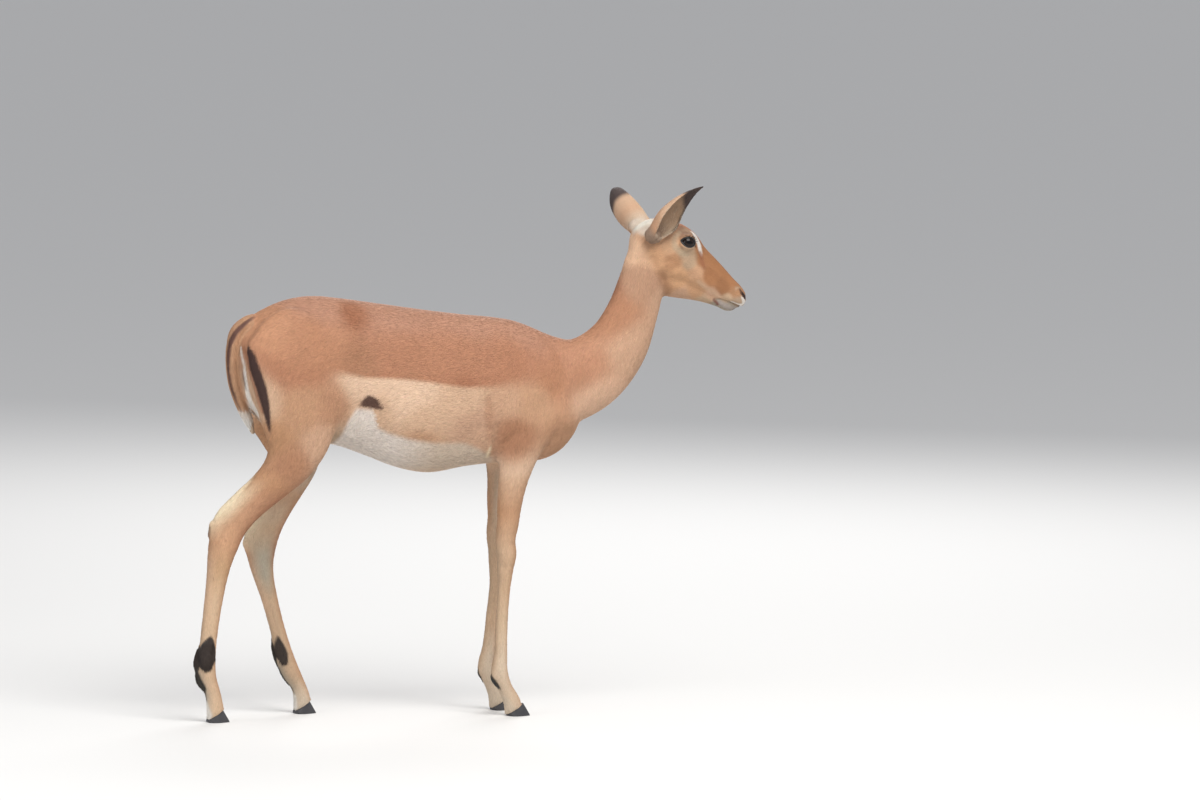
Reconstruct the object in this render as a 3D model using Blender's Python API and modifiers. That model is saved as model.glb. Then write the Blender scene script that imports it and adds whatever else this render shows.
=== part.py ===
"""A life-size standing impala ewe as solids: trunk, neck, head, ears, eyes, tail, legs and hooves.

Frame: metres, +X towards the nose, +Y towards the animal's left, +Z up. The hooves stand on Z = 0.
The flesh is lofted muscle by muscle, fused into one smooth body, thinned, and parted with thin cuts.
"""

import math
from collections import namedtuple

import bmesh
import bpy
import numpy as np
from mathutils import Matrix, Vector

# Driving dimensions, in metres.
GAP = 0.0004  # clearance left between two solids that meet
FUSE_VOXEL = 0.0044  # grid on which the muscle lofts are fused
SOFTEN_ROUNDS = 60
BODY_TRIANGLES = 4700  # what the fused body is thinned to
EYE_RADIUS = 0.0165
EAR_THICKNESS = 0.0036
CLEFT = 0.0026  # between the two claws of a foot

# Coat colours, as linear RGB.
FAWN = (0.50, 0.26, 0.12)
RUST = (0.38, 0.155, 0.065)
TAN = (0.56, 0.33, 0.17)
HORN = (0.030, 0.034, 0.038)
EYE = (0.010, 0.007, 0.006)

RIGHT, LEFT = -1, 1
SIDE_NAMES = {RIGHT: "right", LEFT: "left"}

# One ring of a loft: its centre, and how far it reaches to the top (or front), bottom (or back) and sideways.
Ring = namedtuple("Ring", "x y z up down side")

# The head's own axis runs from the poll to the nose: a is along it, b across it.
POLL = Vector((0.352, 0.0, 1.024))
HEAD_PITCH = math.radians(28.9)
HEAD_ALONG = Vector((math.cos(HEAD_PITCH), 0.0, -math.sin(HEAD_PITCH)))
HEAD_UP = Vector((math.sin(HEAD_PITCH), 0.0, math.cos(HEAD_PITCH)))
EYE_AT = (0.0760, 0.0235, 0.0425)  # a, b and y


def head_point(a, b, y=0.0):
    return POLL + HEAD_ALONG * a + HEAD_UP * b + Vector((0.0, y, 0.0))


# ---------------------------------------------------------------- the body's profiles

# Trunk, rump to chest: x, top, bottom, half width, height of the widest point as a share.
TRUNK = (
    (-0.558, 0.812, 0.739, 0.020, 0.50),
    (-0.548, 0.832, 0.694, 0.042, 0.52),
    (-0.522, 0.854, 0.654, 0.066, 0.54),
    (-0.495, 0.873, 0.624, 0.080, 0.56),
    (-0.457, 0.889, 0.602, 0.090, 0.56),
    (-0.397, 0.8995, 0.588, 0.095, 0.56),
    (-0.330, 0.8945, 0.576, 0.096, 0.54),
    (-0.267, 0.886, 0.554, 0.099, 0.50),
    (-0.196, 0.876, 0.528, 0.107, 0.47),
    (-0.136, 0.8675, 0.517, 0.111, 0.45),
    (-0.044, 0.8565, 0.530, 0.106, 0.45),
    (0.016, 0.851, 0.535, 0.097, 0.46),
    (0.065, 0.842, 0.535, 0.086, 0.47),
    (0.100, 0.829, 0.537, 0.078, 0.48),
    (0.143, 0.811, 0.547, 0.068, 0.50),
    (0.178, 0.801, 0.572, 0.058, 0.52),
    (0.203, 0.784, 0.612, 0.044, 0.54),
    (0.217, 0.754, 0.659, 0.024, 0.54),
)

NECK = (
    Ring(0.090, 0.0, 0.694, 0.085, 0.100, 0.064),
    Ring(0.165, 0.0, 0.708, 0.085, 0.098, 0.060),
    Ring(0.228, 0.0, 0.730, 0.081, 0.088, 0.053),
    Ring(0.288, 0.0, 0.784, 0.069, 0.073, 0.046),
    Ring(0.322, 0.0, 0.854, 0.057, 0.060, 0.0405),
    Ring(0.343, 0.0, 0.924, 0.050, 0.054, 0.0385),
    Ring(0.360, 0.0, 0.976, 0.047, 0.048, 0.039),
    Ring(0.380, 0.0, 1.008, 0.034, 0.040, 0.037),
)

# Head: a, top, bottom, half width, height of the widest point as a share.
FACE = (
    (-0.027, 0.004, -0.026, 0.020, 0.55),
    (-0.014, 0.026, -0.052, 0.034, 0.58),
    (0.020, 0.046, -0.078, 0.043, 0.62),
    (0.058, 0.0560, -0.080, 0.047, 0.66),
    (0.085, 0.0545, -0.076, 0.0465, 0.70),
    (0.104, 0.0490, -0.070, 0.0435, 0.68),
    (0.126, 0.0385, -0.062, 0.0385, 0.62),
    (0.160, 0.0290, -0.056, 0.0325, 0.55),
    (0.190, 0.0200, -0.052, 0.0275, 0.48),
    (0.222, 0.0095, -0.048, 0.0245, 0.45),
    (0.244, 0.0035, -0.044, 0.0235, 0.45),
    (0.259, -0.0045, -0.040, 0.0195, 0.48),
    (0.268, -0.0150, -0.034, 0.0110, 0.50),
)

JAW = (
    (0.030, -0.030, -0.080, 0.020, 0.60),
    (0.070, -0.030, -0.096, 0.032, 0.55),
    (0.100, -0.034, -0.0975, 0.032, 0.55),
    (0.128, -0.038, -0.0880, 0.027, 0.55),
    (0.160, -0.040, -0.0755, 0.0215, 0.55),
    (0.195, -0.042, -0.0650, 0.0180, 0.55),
    (0.222, -0.040, -0.0600, 0.0165, 0.55),
    (0.240, -0.038, -0.0590, 0.0155, 0.55),
    (0.253, -0.040, -0.0530, 0.0110, 0.50),
)

# Legs from the top down. Up is the front of the leg, down is its back.
FORELEG = (
    Ring(0.078, 0.052, 0.694, 0.062, 0.062, 0.018),
    Ring(0.082, 0.060, 0.654, 0.064, 0.062, 0.026),
    Ring(0.066, 0.067, 0.604, 0.058, 0.052, 0.031),
    Ring(0.052, 0.067, 0.549, 0.043, 0.043, 0.030),
    Ring(0.043, 0.064, 0.498, 0.033, 0.034, 0.0265),
    Ring(0.038, 0.061, 0.454, 0.0285, 0.0290, 0.0230),
    Ring(0.034, 0.058, 0.412, 0.0250, 0.0255, 0.0205),
    Ring(0.031, 0.056, 0.376, 0.0235, 0.0225, 0.0205),
    Ring(0.0305, 0.055, 0.347, 0.0230, 0.0220, 0.0215),
    Ring(0.0265, 0.054, 0.314, 0.0190, 0.0185, 0.0175),
    Ring(0.0235, 0.053, 0.279, 0.0152, 0.0155, 0.0138),
    Ring(0.0185, 0.052, 0.204, 0.0142, 0.0148, 0.0125),
    Ring(0.0180, 0.052, 0.134, 0.0150, 0.0155, 0.0135),
    Ring(0.0190, 0.052, 0.090, 0.0178, 0.0200, 0.0168),
    Ring(0.0300, 0.052, 0.060, 0.0160, 0.0165, 0.0158),
    Ring(0.0435, 0.052, 0.030, 0.0185, 0.0205, 0.0180),
    Ring(0.0500, 0.052, 0.006, 0.0185, 0.0240, 0.0180),
)

# The right hind leg stands back, the left one forward.
HINDLEG_BACK = (
    Ring(-0.420, 0.044, 0.869, 0.030, 0.040, 0.018),
    Ring(-0.432, 0.056, 0.829, 0.062, 0.088, 0.030),
    Ring(-0.440, 0.066, 0.779, 0.086, 0.112, 0.038),
    Ring(-0.440, 0.074, 0.709, 0.092, 0.100, 0.041),
    Ring(-0.437, 0.079, 0.644, 0.088, 0.090, 0.040),
    Ring(-0.440, 0.080, 0.594, 0.074, 0.074, 0.037),
    Ring(-0.454, 0.078, 0.552, 0.056, 0.060, 0.033),
    Ring(-0.480, 0.075, 0.519, 0.044, 0.048, 0.029),
    Ring(-0.512, 0.072, 0.489, 0.040, 0.042, 0.0255),
    Ring(-0.545, 0.069, 0.456, 0.036, 0.043, 0.0225),
    Ring(-0.576, 0.066, 0.416, 0.034, 0.047, 0.0205),
    Ring(-0.596, 0.064, 0.372, 0.034, 0.033, 0.0205),
    Ring(-0.607, 0.062, 0.319, 0.0245, 0.0255, 0.0170),
    Ring(-0.616, 0.061, 0.262, 0.0210, 0.0215, 0.0142),
    Ring(-0.6235, 0.060, 0.209, 0.0190, 0.0190, 0.0135),
    Ring(-0.6300, 0.060, 0.154, 0.0185, 0.0185, 0.0140),
    Ring(-0.6315, 0.060, 0.094, 0.0208, 0.0220, 0.0172),
    Ring(-0.6200, 0.060, 0.062, 0.0175, 0.0175, 0.0160),
    Ring(-0.6120, 0.060, 0.032, 0.0190, 0.0200, 0.0180),
    Ring(-0.6070, 0.060, 0.006, 0.0190, 0.0230, 0.0180),
)

HINDLEG_FORWARD = (
    Ring(-0.420, 0.044, 0.869, 0.030, 0.040, 0.018),
    Ring(-0.430, 0.056, 0.829, 0.062, 0.090, 0.030),
    Ring(-0.434, 0.066, 0.779, 0.086, 0.116, 0.038),
    Ring(-0.426, 0.074, 0.709, 0.092, 0.112, 0.041),
    Ring(-0.408, 0.080, 0.644, 0.086, 0.100, 0.040),
    Ring(-0.396, 0.080, 0.589, 0.072, 0.082, 0.037),
    Ring(-0.396, 0.077, 0.534, 0.052, 0.060, 0.032),
    Ring(-0.414, 0.074, 0.486, 0.040, 0.048, 0.0280),
    Ring(-0.436, 0.071, 0.444, 0.034, 0.041, 0.0245),
    Ring(-0.456, 0.068, 0.404, 0.032, 0.042, 0.0220),
    Ring(-0.471, 0.066, 0.364, 0.033, 0.043, 0.0205),
    Ring(-0.474, 0.064, 0.332, 0.030, 0.030, 0.0200),
    Ring(-0.467, 0.062, 0.292, 0.0230, 0.0230, 0.0170),
    Ring(-0.455, 0.061, 0.249, 0.0190, 0.0190, 0.0142),
    Ring(-0.441, 0.060, 0.199, 0.0175, 0.0175, 0.0135),
    Ring(-0.4285, 0.060, 0.149, 0.0175, 0.0180, 0.0140),
    Ring(-0.4160, 0.060, 0.090, 0.0205, 0.0220, 0.0172),
    Ring(-0.3980, 0.060, 0.058, 0.0168, 0.0170, 0.0160),
    Ring(-0.3860, 0.060, 0.030, 0.0190, 0.0200, 0.0180),
    Ring(-0.3800, 0.060, 0.006, 0.0190, 0.0230, 0.0180),
)

TAIL = (
    Ring(-0.500, 0.0, 0.846, 0.014, 0.018, 0.018),
    Ring(-0.530, 0.0, 0.840, 0.019, 0.017, 0.024),
    Ring(-0.553, 0.0, 0.822, 0.017, 0.016, 0.024),
    Ring(-0.562, 0.0, 0.789, 0.014, 0.015, 0.021),
    Ring(-0.563, 0.0, 0.749, 0.014, 0.014, 0.021),
    Ring(-0.555, 0.0, 0.704, 0.014, 0.014, 0.020),
    Ring(-0.541, 0.0, 0.666, 0.013, 0.013, 0.018),
    Ring(-0.524, 0.0, 0.631, 0.011, 0.011, 0.014),
    Ring(-0.513, 0.0, 0.604, 0.005, 0.005, 0.006),
)

# The left foreleg stands with its knee a little ahead of the right one: height and how far ahead.
FORELEG_AHEAD = ((0.00, -0.003), (0.10, 0.003), (0.25, 0.015), (0.50, 0.016), (0.62, 0.0))

# Feet: sole from heel to toe, middle of the sole sideways, and the side it stands on.
FEET = {
    "foreleg_right": (0.026, 0.074, 0.052, RIGHT),
    "foreleg_left": (0.022, 0.070, 0.052, LEFT),
    "hindleg_right": (-0.632, -0.585, 0.060, RIGHT),
    "hindleg_left": (-0.404, -0.357, 0.060, LEFT),
}
SOLE_HALF = 0.0195  # half the width of a foot at the sole
CORONET_FRONT = 0.023  # height of the top of the hoof in front
CORONET_HEEL = 0.011  # and at the heel

# Ears: root, tip, and the way the cup opens. The right one is rolled, the left one spread.
EARS = {
    RIGHT: ((0.354, -0.045, 1.020), (0.446, -0.098, 1.132), (0.35, -0.75, -0.55)),
    LEFT: ((0.345, 0.036, 1.034), (0.333, 0.160, 1.098), (0.70, 0.60, -0.10)),
}
EAR_BOW = 0.021
# Across an ear it is an arc: share of the length, radius, and half its opening angle in degrees.
EAR_ARCS = {
    RIGHT: (
        (0.00, 0.0170, 145),
        (0.15, 0.0215, 128),
        (0.30, 0.0235, 112),
        (0.50, 0.0200, 98),
        (0.70, 0.0145, 85),
        (0.86, 0.0085, 72),
        (0.95, 0.0045, 66),
        (1.00, 0.0020, 60),
    ),
    LEFT: (
        (0.00, 0.0190, 120),
        (0.15, 0.0255, 95),
        (0.30, 0.0300, 82),
        (0.50, 0.0310, 74),
        (0.70, 0.0285, 66),
        (0.86, 0.0220, 60),
        (0.95, 0.0130, 56),
        (1.00, 0.0050, 52),
    ),
}

# Swellings and hollows laid over the fused body: centre, radii, turn about Y in degrees, height.
# They hold on both sides of the body, so y is a distance from the middle.
RELIEF = (
    ((0.112, 0.070, 0.739), (0.055, 0.07, 0.105), 24, 0.0055),  # shoulder blade
    ((0.148, 0.060, 0.642), (0.050, 0.06, 0.050), 0, 0.0080),  # point of the shoulder
    ((0.050, 0.085, 0.644), (0.055, 0.06, 0.085), 10, 0.0060),  # triceps
    ((0.196, 0.055, 0.704), (0.032, 0.06, 0.100), 24, -0.0030),  # hollow before the shoulder
    ((-0.022, 0.090, 0.644), (0.036, 0.07, 0.100), 0, -0.0040),  # behind the elbow
    ((-0.335, 0.065, 0.854), (0.050, 0.05, 0.032), 0, 0.0040),  # hip bone
    ((-0.298, 0.100, 0.784), (0.065, 0.07, 0.065), 0, -0.0050),  # hollow of the flank
    ((-0.312, 0.100, 0.664), (0.036, 0.07, 0.085), 20, -0.0045),  # flank fold
    ((-0.545, 0.045, 0.799), (0.032, 0.035, 0.045), 0, 0.0050),  # pin bone
    ((-0.490, 0.110, 0.704), (0.030, 0.06, 0.120), -12, -0.0030),  # groove between the thigh muscles
    ((-0.640, 0.066, 0.130), (0.028, 0.03, 0.045), 0, 0.0090),  # gland tuft of the right hind leg
    ((-0.442, 0.066, 0.132), (0.028, 0.03, 0.045), 0, 0.0065),  # gland tuft of the left hind leg
    ((-0.650, 0.060, 0.082), (0.020, 0.022, 0.028), 0, 0.0060),  # tuft behind the right hind fetlock
    ((0.003, 0.052, 0.070), (0.020, 0.022, 0.034), 0, 0.0055),  # tufts behind the front fetlocks
)

# The same for the head, with centres as a, b and y.
HEAD_RELIEF = (
    ((0.076, 0.0235, 0.050), (0.034, 0.030, 0.026), 0.0055),  # orbit
    ((0.066, 0.0480, 0.042), (0.028, 0.022, 0.012), 0.0035),  # brow
    ((0.122, 0.0050, 0.040), (0.026, 0.020, 0.018), -0.0030),  # tear gland
    ((0.085, -0.046, 0.036), (0.040, 0.024, 0.034), 0.0040),  # cheek
    ((0.165, -0.014, 0.032), (0.040, 0.020, 0.016), -0.0025),  # hollow of the face
    ((0.012, 0.016, 0.044), (0.022, 0.026, 0.022), 0.0080),  # ear root
    ((0.245, -0.022, 0.022), (0.018, 0.016, 0.018), 0.0018),  # lip
)


# ---------------------------------------------------------------- scene and mesh tools


def clear_scene():
    for item in list(bpy.data.objects):
        bpy.data.objects.remove(item, do_unlink=True)


def collection(name, hidden=False):
    made = bpy.data.collections.new(name)
    made.hide_render = hidden
    bpy.context.scene.collection.children.link(made)
    return made


def material(name, colour, roughness):
    made = bpy.data.materials.new(name)
    made.use_nodes = True
    shader = made.node_tree.nodes["Principled BSDF"]
    shader.inputs["Base Color"].default_value = (*colour, 1.0)
    shader.inputs["Roughness"].default_value = roughness
    made.diffuse_color = (*colour, 1.0)
    return made


def add_object(name, mesh, home):
    made = bpy.data.objects.new(name, mesh)
    home.objects.link(made)
    return made


def mesh_of(name, points, faces):
    mesh = bpy.data.meshes.new(name)
    mesh.from_pydata([tuple(p) for p in np.asarray(points, float)], [], faces)
    mesh.update()
    return mesh


def applied(item, home):
    """The item with its modifiers applied, as a new object of the same name."""
    bpy.context.view_layer.update()
    graph = bpy.context.evaluated_depsgraph_get()
    mesh = bpy.data.meshes.new_from_object(item.evaluated_get(graph))
    name = item.name
    bpy.data.objects.remove(item, do_unlink=True)
    mesh.name = name
    return add_object(name, mesh, home)


def points_of(mesh):
    points = np.empty(len(mesh.vertices) * 3, np.float32)
    mesh.vertices.foreach_get("co", points)
    return points.reshape(-1, 3).astype(float)


def normals_of(mesh):
    normals = np.empty(len(mesh.vertices) * 3, np.float32)
    mesh.vertex_normals.foreach_get("vector", normals)
    return normals.reshape(-1, 3).astype(float)


def boolean(item, cutter, operation, home):
    """The item with the cutter taken from it, or kept to the cutter's inside."""
    cut = item.modifiers.new("Cut", "BOOLEAN")
    cut.operation = operation
    cut.object = cutter
    cut.solver = "EXACT"
    return applied(item, home)


def copy_of(item, name, home):
    return add_object(name, item.data.copy(), home)


def grown(item, by, name, home):
    """A copy of a closed mesh, every point moved out along its normal."""
    copy = copy_of(item, name, home)
    points = points_of(copy.data) + by * normals_of(copy.data)
    copy.data.vertices.foreach_set("co", points.astype(np.float32).ravel())
    copy.data.update()
    return copy


def keep_largest(item):
    """Drops every loose shell but the one with the most faces."""
    work = bmesh.new()
    work.from_mesh(item.data)
    seen = set()
    shells = []
    for start in work.verts:
        if start in seen:
            continue
        seen.add(start)
        shell = [start]
        for vertex in shell:
            for edge in vertex.link_edges:
                other = edge.other_vert(vertex)
                if other not in seen:
                    seen.add(other)
                    shell.append(other)
        shells.append(shell)
    shells.sort(key=len)
    for shell in shells[:-1]:
        bmesh.ops.delete(work, geom=shell, context="VERTS")
    work.to_mesh(item.data)
    work.free()


def tidy_mesh(item):
    """Welds points that a cut left together, makes triangles and turns the faces out."""
    work = bmesh.new()
    work.from_mesh(item.data)
    bmesh.ops.remove_doubles(work, verts=work.verts, dist=0.00002)
    bmesh.ops.dissolve_degenerate(work, edges=work.edges, dist=0.00002)
    bmesh.ops.triangulate(work, faces=work.faces)
    bmesh.ops.recalc_face_normals(work, faces=work.faces)
    work.to_mesh(item.data)
    work.free()


def joined(items, name, home):
    meshes = bmesh.new()
    for item in items:
        meshes.from_mesh(item.data)
        bpy.data.objects.remove(item, do_unlink=True)
    mesh = bpy.data.meshes.new(name)
    meshes.to_mesh(mesh)
    meshes.free()
    return add_object(name, mesh, home)


# ---------------------------------------------------------------- curves and lofts


def smooth_curve(knots, values, at):
    """Cubic Hermite curve through the values, with the slopes of its neighbours."""
    slopes = np.gradient(values, knots, axis=0)
    left = np.clip(np.searchsorted(knots, at, side="right") - 1, 0, len(knots) - 2)
    span = (knots[left + 1] - knots[left])[:, None]
    t = (at[:, None] - knots[left][:, None]) / span
    return (
        (2 * t**3 - 3 * t**2 + 1) * values[left]
        + (t**3 - 2 * t**2 + t) * span * slopes[left]
        + (3 * t**2 - 2 * t**3) * values[left + 1]
        + (t**3 - t**2) * span * slopes[left + 1]
    )


def loft_grid(rings, sides, step, egg, square, facing):
    """Points of a loft, as rings x sides x 3.

    The path runs smoothly through the rings' centres, and each section is a superellipse across it.
    Egg narrows a section towards its top. Facing fixes the way the sections look.
    """
    table = np.array(rings, float)
    chord = np.linalg.norm(np.diff(table[:, :3], axis=0), axis=1)
    knots = np.concatenate([[0.0], np.cumsum(chord)])
    at = np.linspace(0.0, knots[-1], max(6, int(knots[-1] / step)))
    values = smooth_curve(knots, table, at)
    centre = values[:, :3]
    reach = np.maximum(values[:, 3:], 0.001)
    along = np.gradient(centre, axis=0) if facing is None else np.tile(facing, (len(at), 1))
    along /= np.linalg.norm(along, axis=1)[:, None]
    across = np.array([0.0, 1.0, 0.0]) - along * along[:, 1:2]
    across /= np.linalg.norm(across, axis=1)[:, None]
    upward = np.cross(along, across)
    turn = np.linspace(0.0, 2 * math.pi, sides, endpoint=False)
    c = np.sign(np.cos(turn)) * np.abs(np.cos(turn)) ** (2 / square)
    s = np.sign(np.sin(turn)) * np.abs(np.sin(turn)) ** (2 / square)
    sideways = reach[:, 2:3] * c * (1 - egg * s)
    upwards = np.where(s > 0, reach[:, 0:1], reach[:, 1:2]) * s
    return centre[:, None] + across[:, None] * sideways[..., None] + upward[:, None] * upwards[..., None]


def closed_tube(name, grid, home, dome=0.35):
    """A tube through rings of points, its ends drawn to slightly domed points."""
    count, sides = grid.shape[:2]
    first, last = grid[0].mean(axis=0), grid[-1].mean(axis=0)
    first = first + (first - grid[1].mean(axis=0)) * dome
    last = last + (last - grid[-2].mean(axis=0)) * dome
    points = np.concatenate([grid.reshape(-1, 3), [first, last]])
    faces = []
    for ring in range(count - 1):
        for k in range(sides):
            a, b = ring * sides + k, ring * sides + (k + 1) % sides
            faces.append((a, a + sides, b + sides, b))
    start, end = count * sides, count * sides + 1
    for k in range(sides):
        after = (k + 1) % sides
        faces.append((start, k, after))
        faces.append((end, (count - 1) * sides + after, (count - 1) * sides + k))
    made = add_object(name, mesh_of(name, points, faces), home)
    work = bmesh.new()
    work.from_mesh(made.data)
    bmesh.ops.recalc_face_normals(work, faces=work.faces)
    work.to_mesh(made.data)
    work.free()
    return made


def loft(name, rings, home, sides=32, step=0.008, egg=0.0, square=2.0, facing=None):
    return closed_tube(name, loft_grid(rings, sides, step, egg, square, facing), home)


def profile_rings(profile, place):
    """Rings from (distance along, top, bottom, half width, share of the widest height)."""
    rings = []
    for along, top, bottom, side, share in profile:
        middle = bottom + (top - bottom) * share
        rings.append(Ring(*place(along, middle), top - middle, middle - bottom, side))
    return rings


def on_side(rings, side, forward=lambda z: 0.0):
    return [ring._replace(x=ring.x + forward(ring.z), y=ring.y * side) for ring in rings]


# ---------------------------------------------------------------- the fused body


def foreleg_ahead(z):
    heights, shifts = zip(*FORELEG_AHEAD)
    return float(np.interp(z, heights, shifts))


def flesh_masses(home):
    """Every mass of the body, as closed overlapping shapes."""
    trunk = profile_rings(TRUNK, lambda x, z: (x, 0.0, z))
    masses = [
        loft("trunk_mass", trunk, home, sides=48, egg=0.22, square=2.1, facing=(1.0, 0.0, 0.0)),
        loft("neck_mass", NECK, home, sides=36),
        loft("face_mass", profile_rings(FACE, head_point), home, 36, 0.005, 0.10, 2.2, tuple(HEAD_ALONG)),
        loft("jaw_mass", profile_rings(JAW, head_point), home, 28, 0.005, 0.0, 2.0, tuple(HEAD_ALONG)),
    ]
    for side in (RIGHT, LEFT):
        hind = HINDLEG_BACK if side == RIGHT else HINDLEG_FORWARD
        ahead = on_side(FORELEG, side, foreleg_ahead if side == LEFT else lambda z: 0.0)
        masses.append(loft("foreleg_mass", ahead, home, sides=28, step=0.007))
        masses.append(loft("hindleg_mass", on_side(hind, side), home, sides=32, step=0.007))
    return masses


def head_axes(points):
    """The a, b and |y| of points, on the head's own axis."""
    offset = points - np.array(POLL)
    return np.stack([offset @ np.array(HEAD_ALONG), offset @ np.array(HEAD_UP), np.abs(points[:, 1])], axis=1)


def swelling(offset, radii):
    """1 at the middle of an ellipsoid, falling smoothly to 0 at its surface."""
    return np.clip(1 - ((offset / np.array(radii)) ** 2).sum(axis=1), 0, 1) ** 2


def relief_height(points):
    """How far the muscles and bones raise each point of the fused body."""
    height = np.zeros(len(points))
    folded = points * np.array([1.0, 0.0, 1.0]) + np.abs(points) * np.array([0.0, 1.0, 0.0])
    for centre, radii, turn, raised in RELIEF:
        c, s = math.cos(math.radians(turn)), math.sin(math.radians(turn))
        offset = folded - np.array(centre)
        turned = np.stack([offset[:, 0] * c - offset[:, 2] * s, offset[:, 1], offset[:, 0] * s + offset[:, 2] * c], 1)
        height += raised * swelling(turned, radii)
    on_head = head_axes(points)
    for centre, radii, raised in HEAD_RELIEF:
        height += raised * swelling(on_head - np.array(centre), radii)
    return height


def blend_weight(points):
    """Where the fused body is smoothed: most where limbs meet the trunk, little on thin legs and the face."""
    x, z = points[:, 0], points[:, 2]
    weight = np.interp(z, (0.36, 0.50, 0.60), (0.03, 0.25, 1.0))
    weight *= np.interp(x, (0.19, 0.27), (1.0, 0.22))
    return weight * np.interp(head_axes(points)[:, 0], (-0.04, 0.06), (1.0, 0.35))


def fused_body(home):
    body = joined(flesh_masses(home), "flesh", home)
    fuse = body.modifiers.new("Fuse", "REMESH")
    fuse.mode = "VOXEL"
    fuse.voxel_size = FUSE_VOXEL
    body = applied(body, home)
    keep_largest(body)
    group = body.vertex_groups.new(name="blend")
    for index, weight in enumerate(blend_weight(points_of(body.data))):
        group.add([index], float(weight), "REPLACE")
    soften = body.modifiers.new("Soften", "SMOOTH")
    soften.factor = 0.6
    soften.iterations = SOFTEN_ROUNDS
    soften.vertex_group = "blend"
    body = applied(body, home)
    body.vertex_groups.clear()
    points = points_of(body.data)
    points += relief_height(points)[:, None] * normals_of(body.data)
    body.data.vertices.foreach_set("co", points.astype(np.float32).ravel())
    body.data.update()
    thin = body.modifiers.new("Thin", "DECIMATE")
    thin.ratio = BODY_TRIANGLES / (2 * len(body.data.polygons))
    body = applied(body, home)
    tidy_mesh(body)
    return body


# ---------------------------------------------------------------- thin cuts


def cutter_box(name, low, high, placed, home):
    """A box between two corners, put in place by a matrix."""
    work = bmesh.new()
    bmesh.ops.create_cube(work, size=1.0)
    mesh = bpy.data.meshes.new(name)
    work.to_mesh(mesh)
    work.free()
    low, high = Vector(low), Vector(high)
    size = high - low
    mesh.transform(placed @ Matrix.Translation((low + high) / 2) @ Matrix.Diagonal((*size, 1.0)))
    made = add_object(name, mesh, home)
    made.display_type = "WIRE"
    return made


def beyond(point, tilt, back, home):
    """Everything ahead of a plane through a point, its normal turned down by degrees from +X."""
    placed = Matrix.Translation(point) @ Matrix.Rotation(math.radians(tilt), 4, "Y")
    return cutter_box("beyond", (-back, -1.0, -2.0), (3.0, 1.0, 2.0), placed, home)


def under(height, front, rear, side, back, home):
    """Everything below a height on one side of the body, between two distances along it."""
    near, far = sorted((0.005 * side, 0.25 * side))
    low, high = (rear, near, -0.5), (front, far, height + back)
    return cutter_box("under", low, high, Matrix.Identity(4), home)


def part_off(body, name, make_cutter, home):
    """(the piece inside a cutter, the rest), with the gap left between them."""
    inside, outside = make_cutter(0.0), make_cutter(GAP)
    piece = boolean(copy_of(body, name, home), inside, "INTERSECT", home)
    rest = boolean(body, outside, "DIFFERENCE", home)
    for cutter in (inside, outside):
        bpy.data.objects.remove(cutter, do_unlink=True)
    keep_largest(piece)
    keep_largest(rest)
    return piece, rest


def parted_flesh(body, home, cutters):
    """The body parted into its nodes, by name."""
    pieces = {}
    neck, body = part_off(body, "neck", lambda back: beyond((0.205, 0, 0.724), -20, back, cutters), home)
    head, neck = part_off(neck, "head", lambda back: beyond((0.355, 0, 0.961), -28, back, cutters), home)
    pieces["head"], pieces["neck"] = head, neck
    for side in (RIGHT, LEFT):
        for limb, top, joint, front, rear in (
            ("foreleg", 0.526, 0.376, 0.160, -0.036),
            ("hindleg", 0.560, 0.399 if side == RIGHT else 0.354, -0.305, -0.75),
        ):
            upper, lower = (limb + end + SIDE_NAMES[side] for end in ("_upper_", "_lower_"))
            leg, body = part_off(body, upper, lambda back: under(top, front, rear, side, back, cutters), home)
            pieces[lower], pieces[upper] = part_off(
                leg, lower, lambda back: under(joint, front, rear, side, back, cutters), home
            )
    pieces["trunk"] = body
    return pieces


# ---------------------------------------------------------------- eyes, ears, tail, hooves


def ball(name, centre, radius, home, segments=18):
    work = bmesh.new()
    bmesh.ops.create_uvsphere(work, u_segments=segments, v_segments=segments // 2, radius=radius)
    mesh = bpy.data.meshes.new(name)
    work.to_mesh(mesh)
    work.free()
    mesh.transform(Matrix.Translation(centre))
    return add_object(name, mesh, home)


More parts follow.
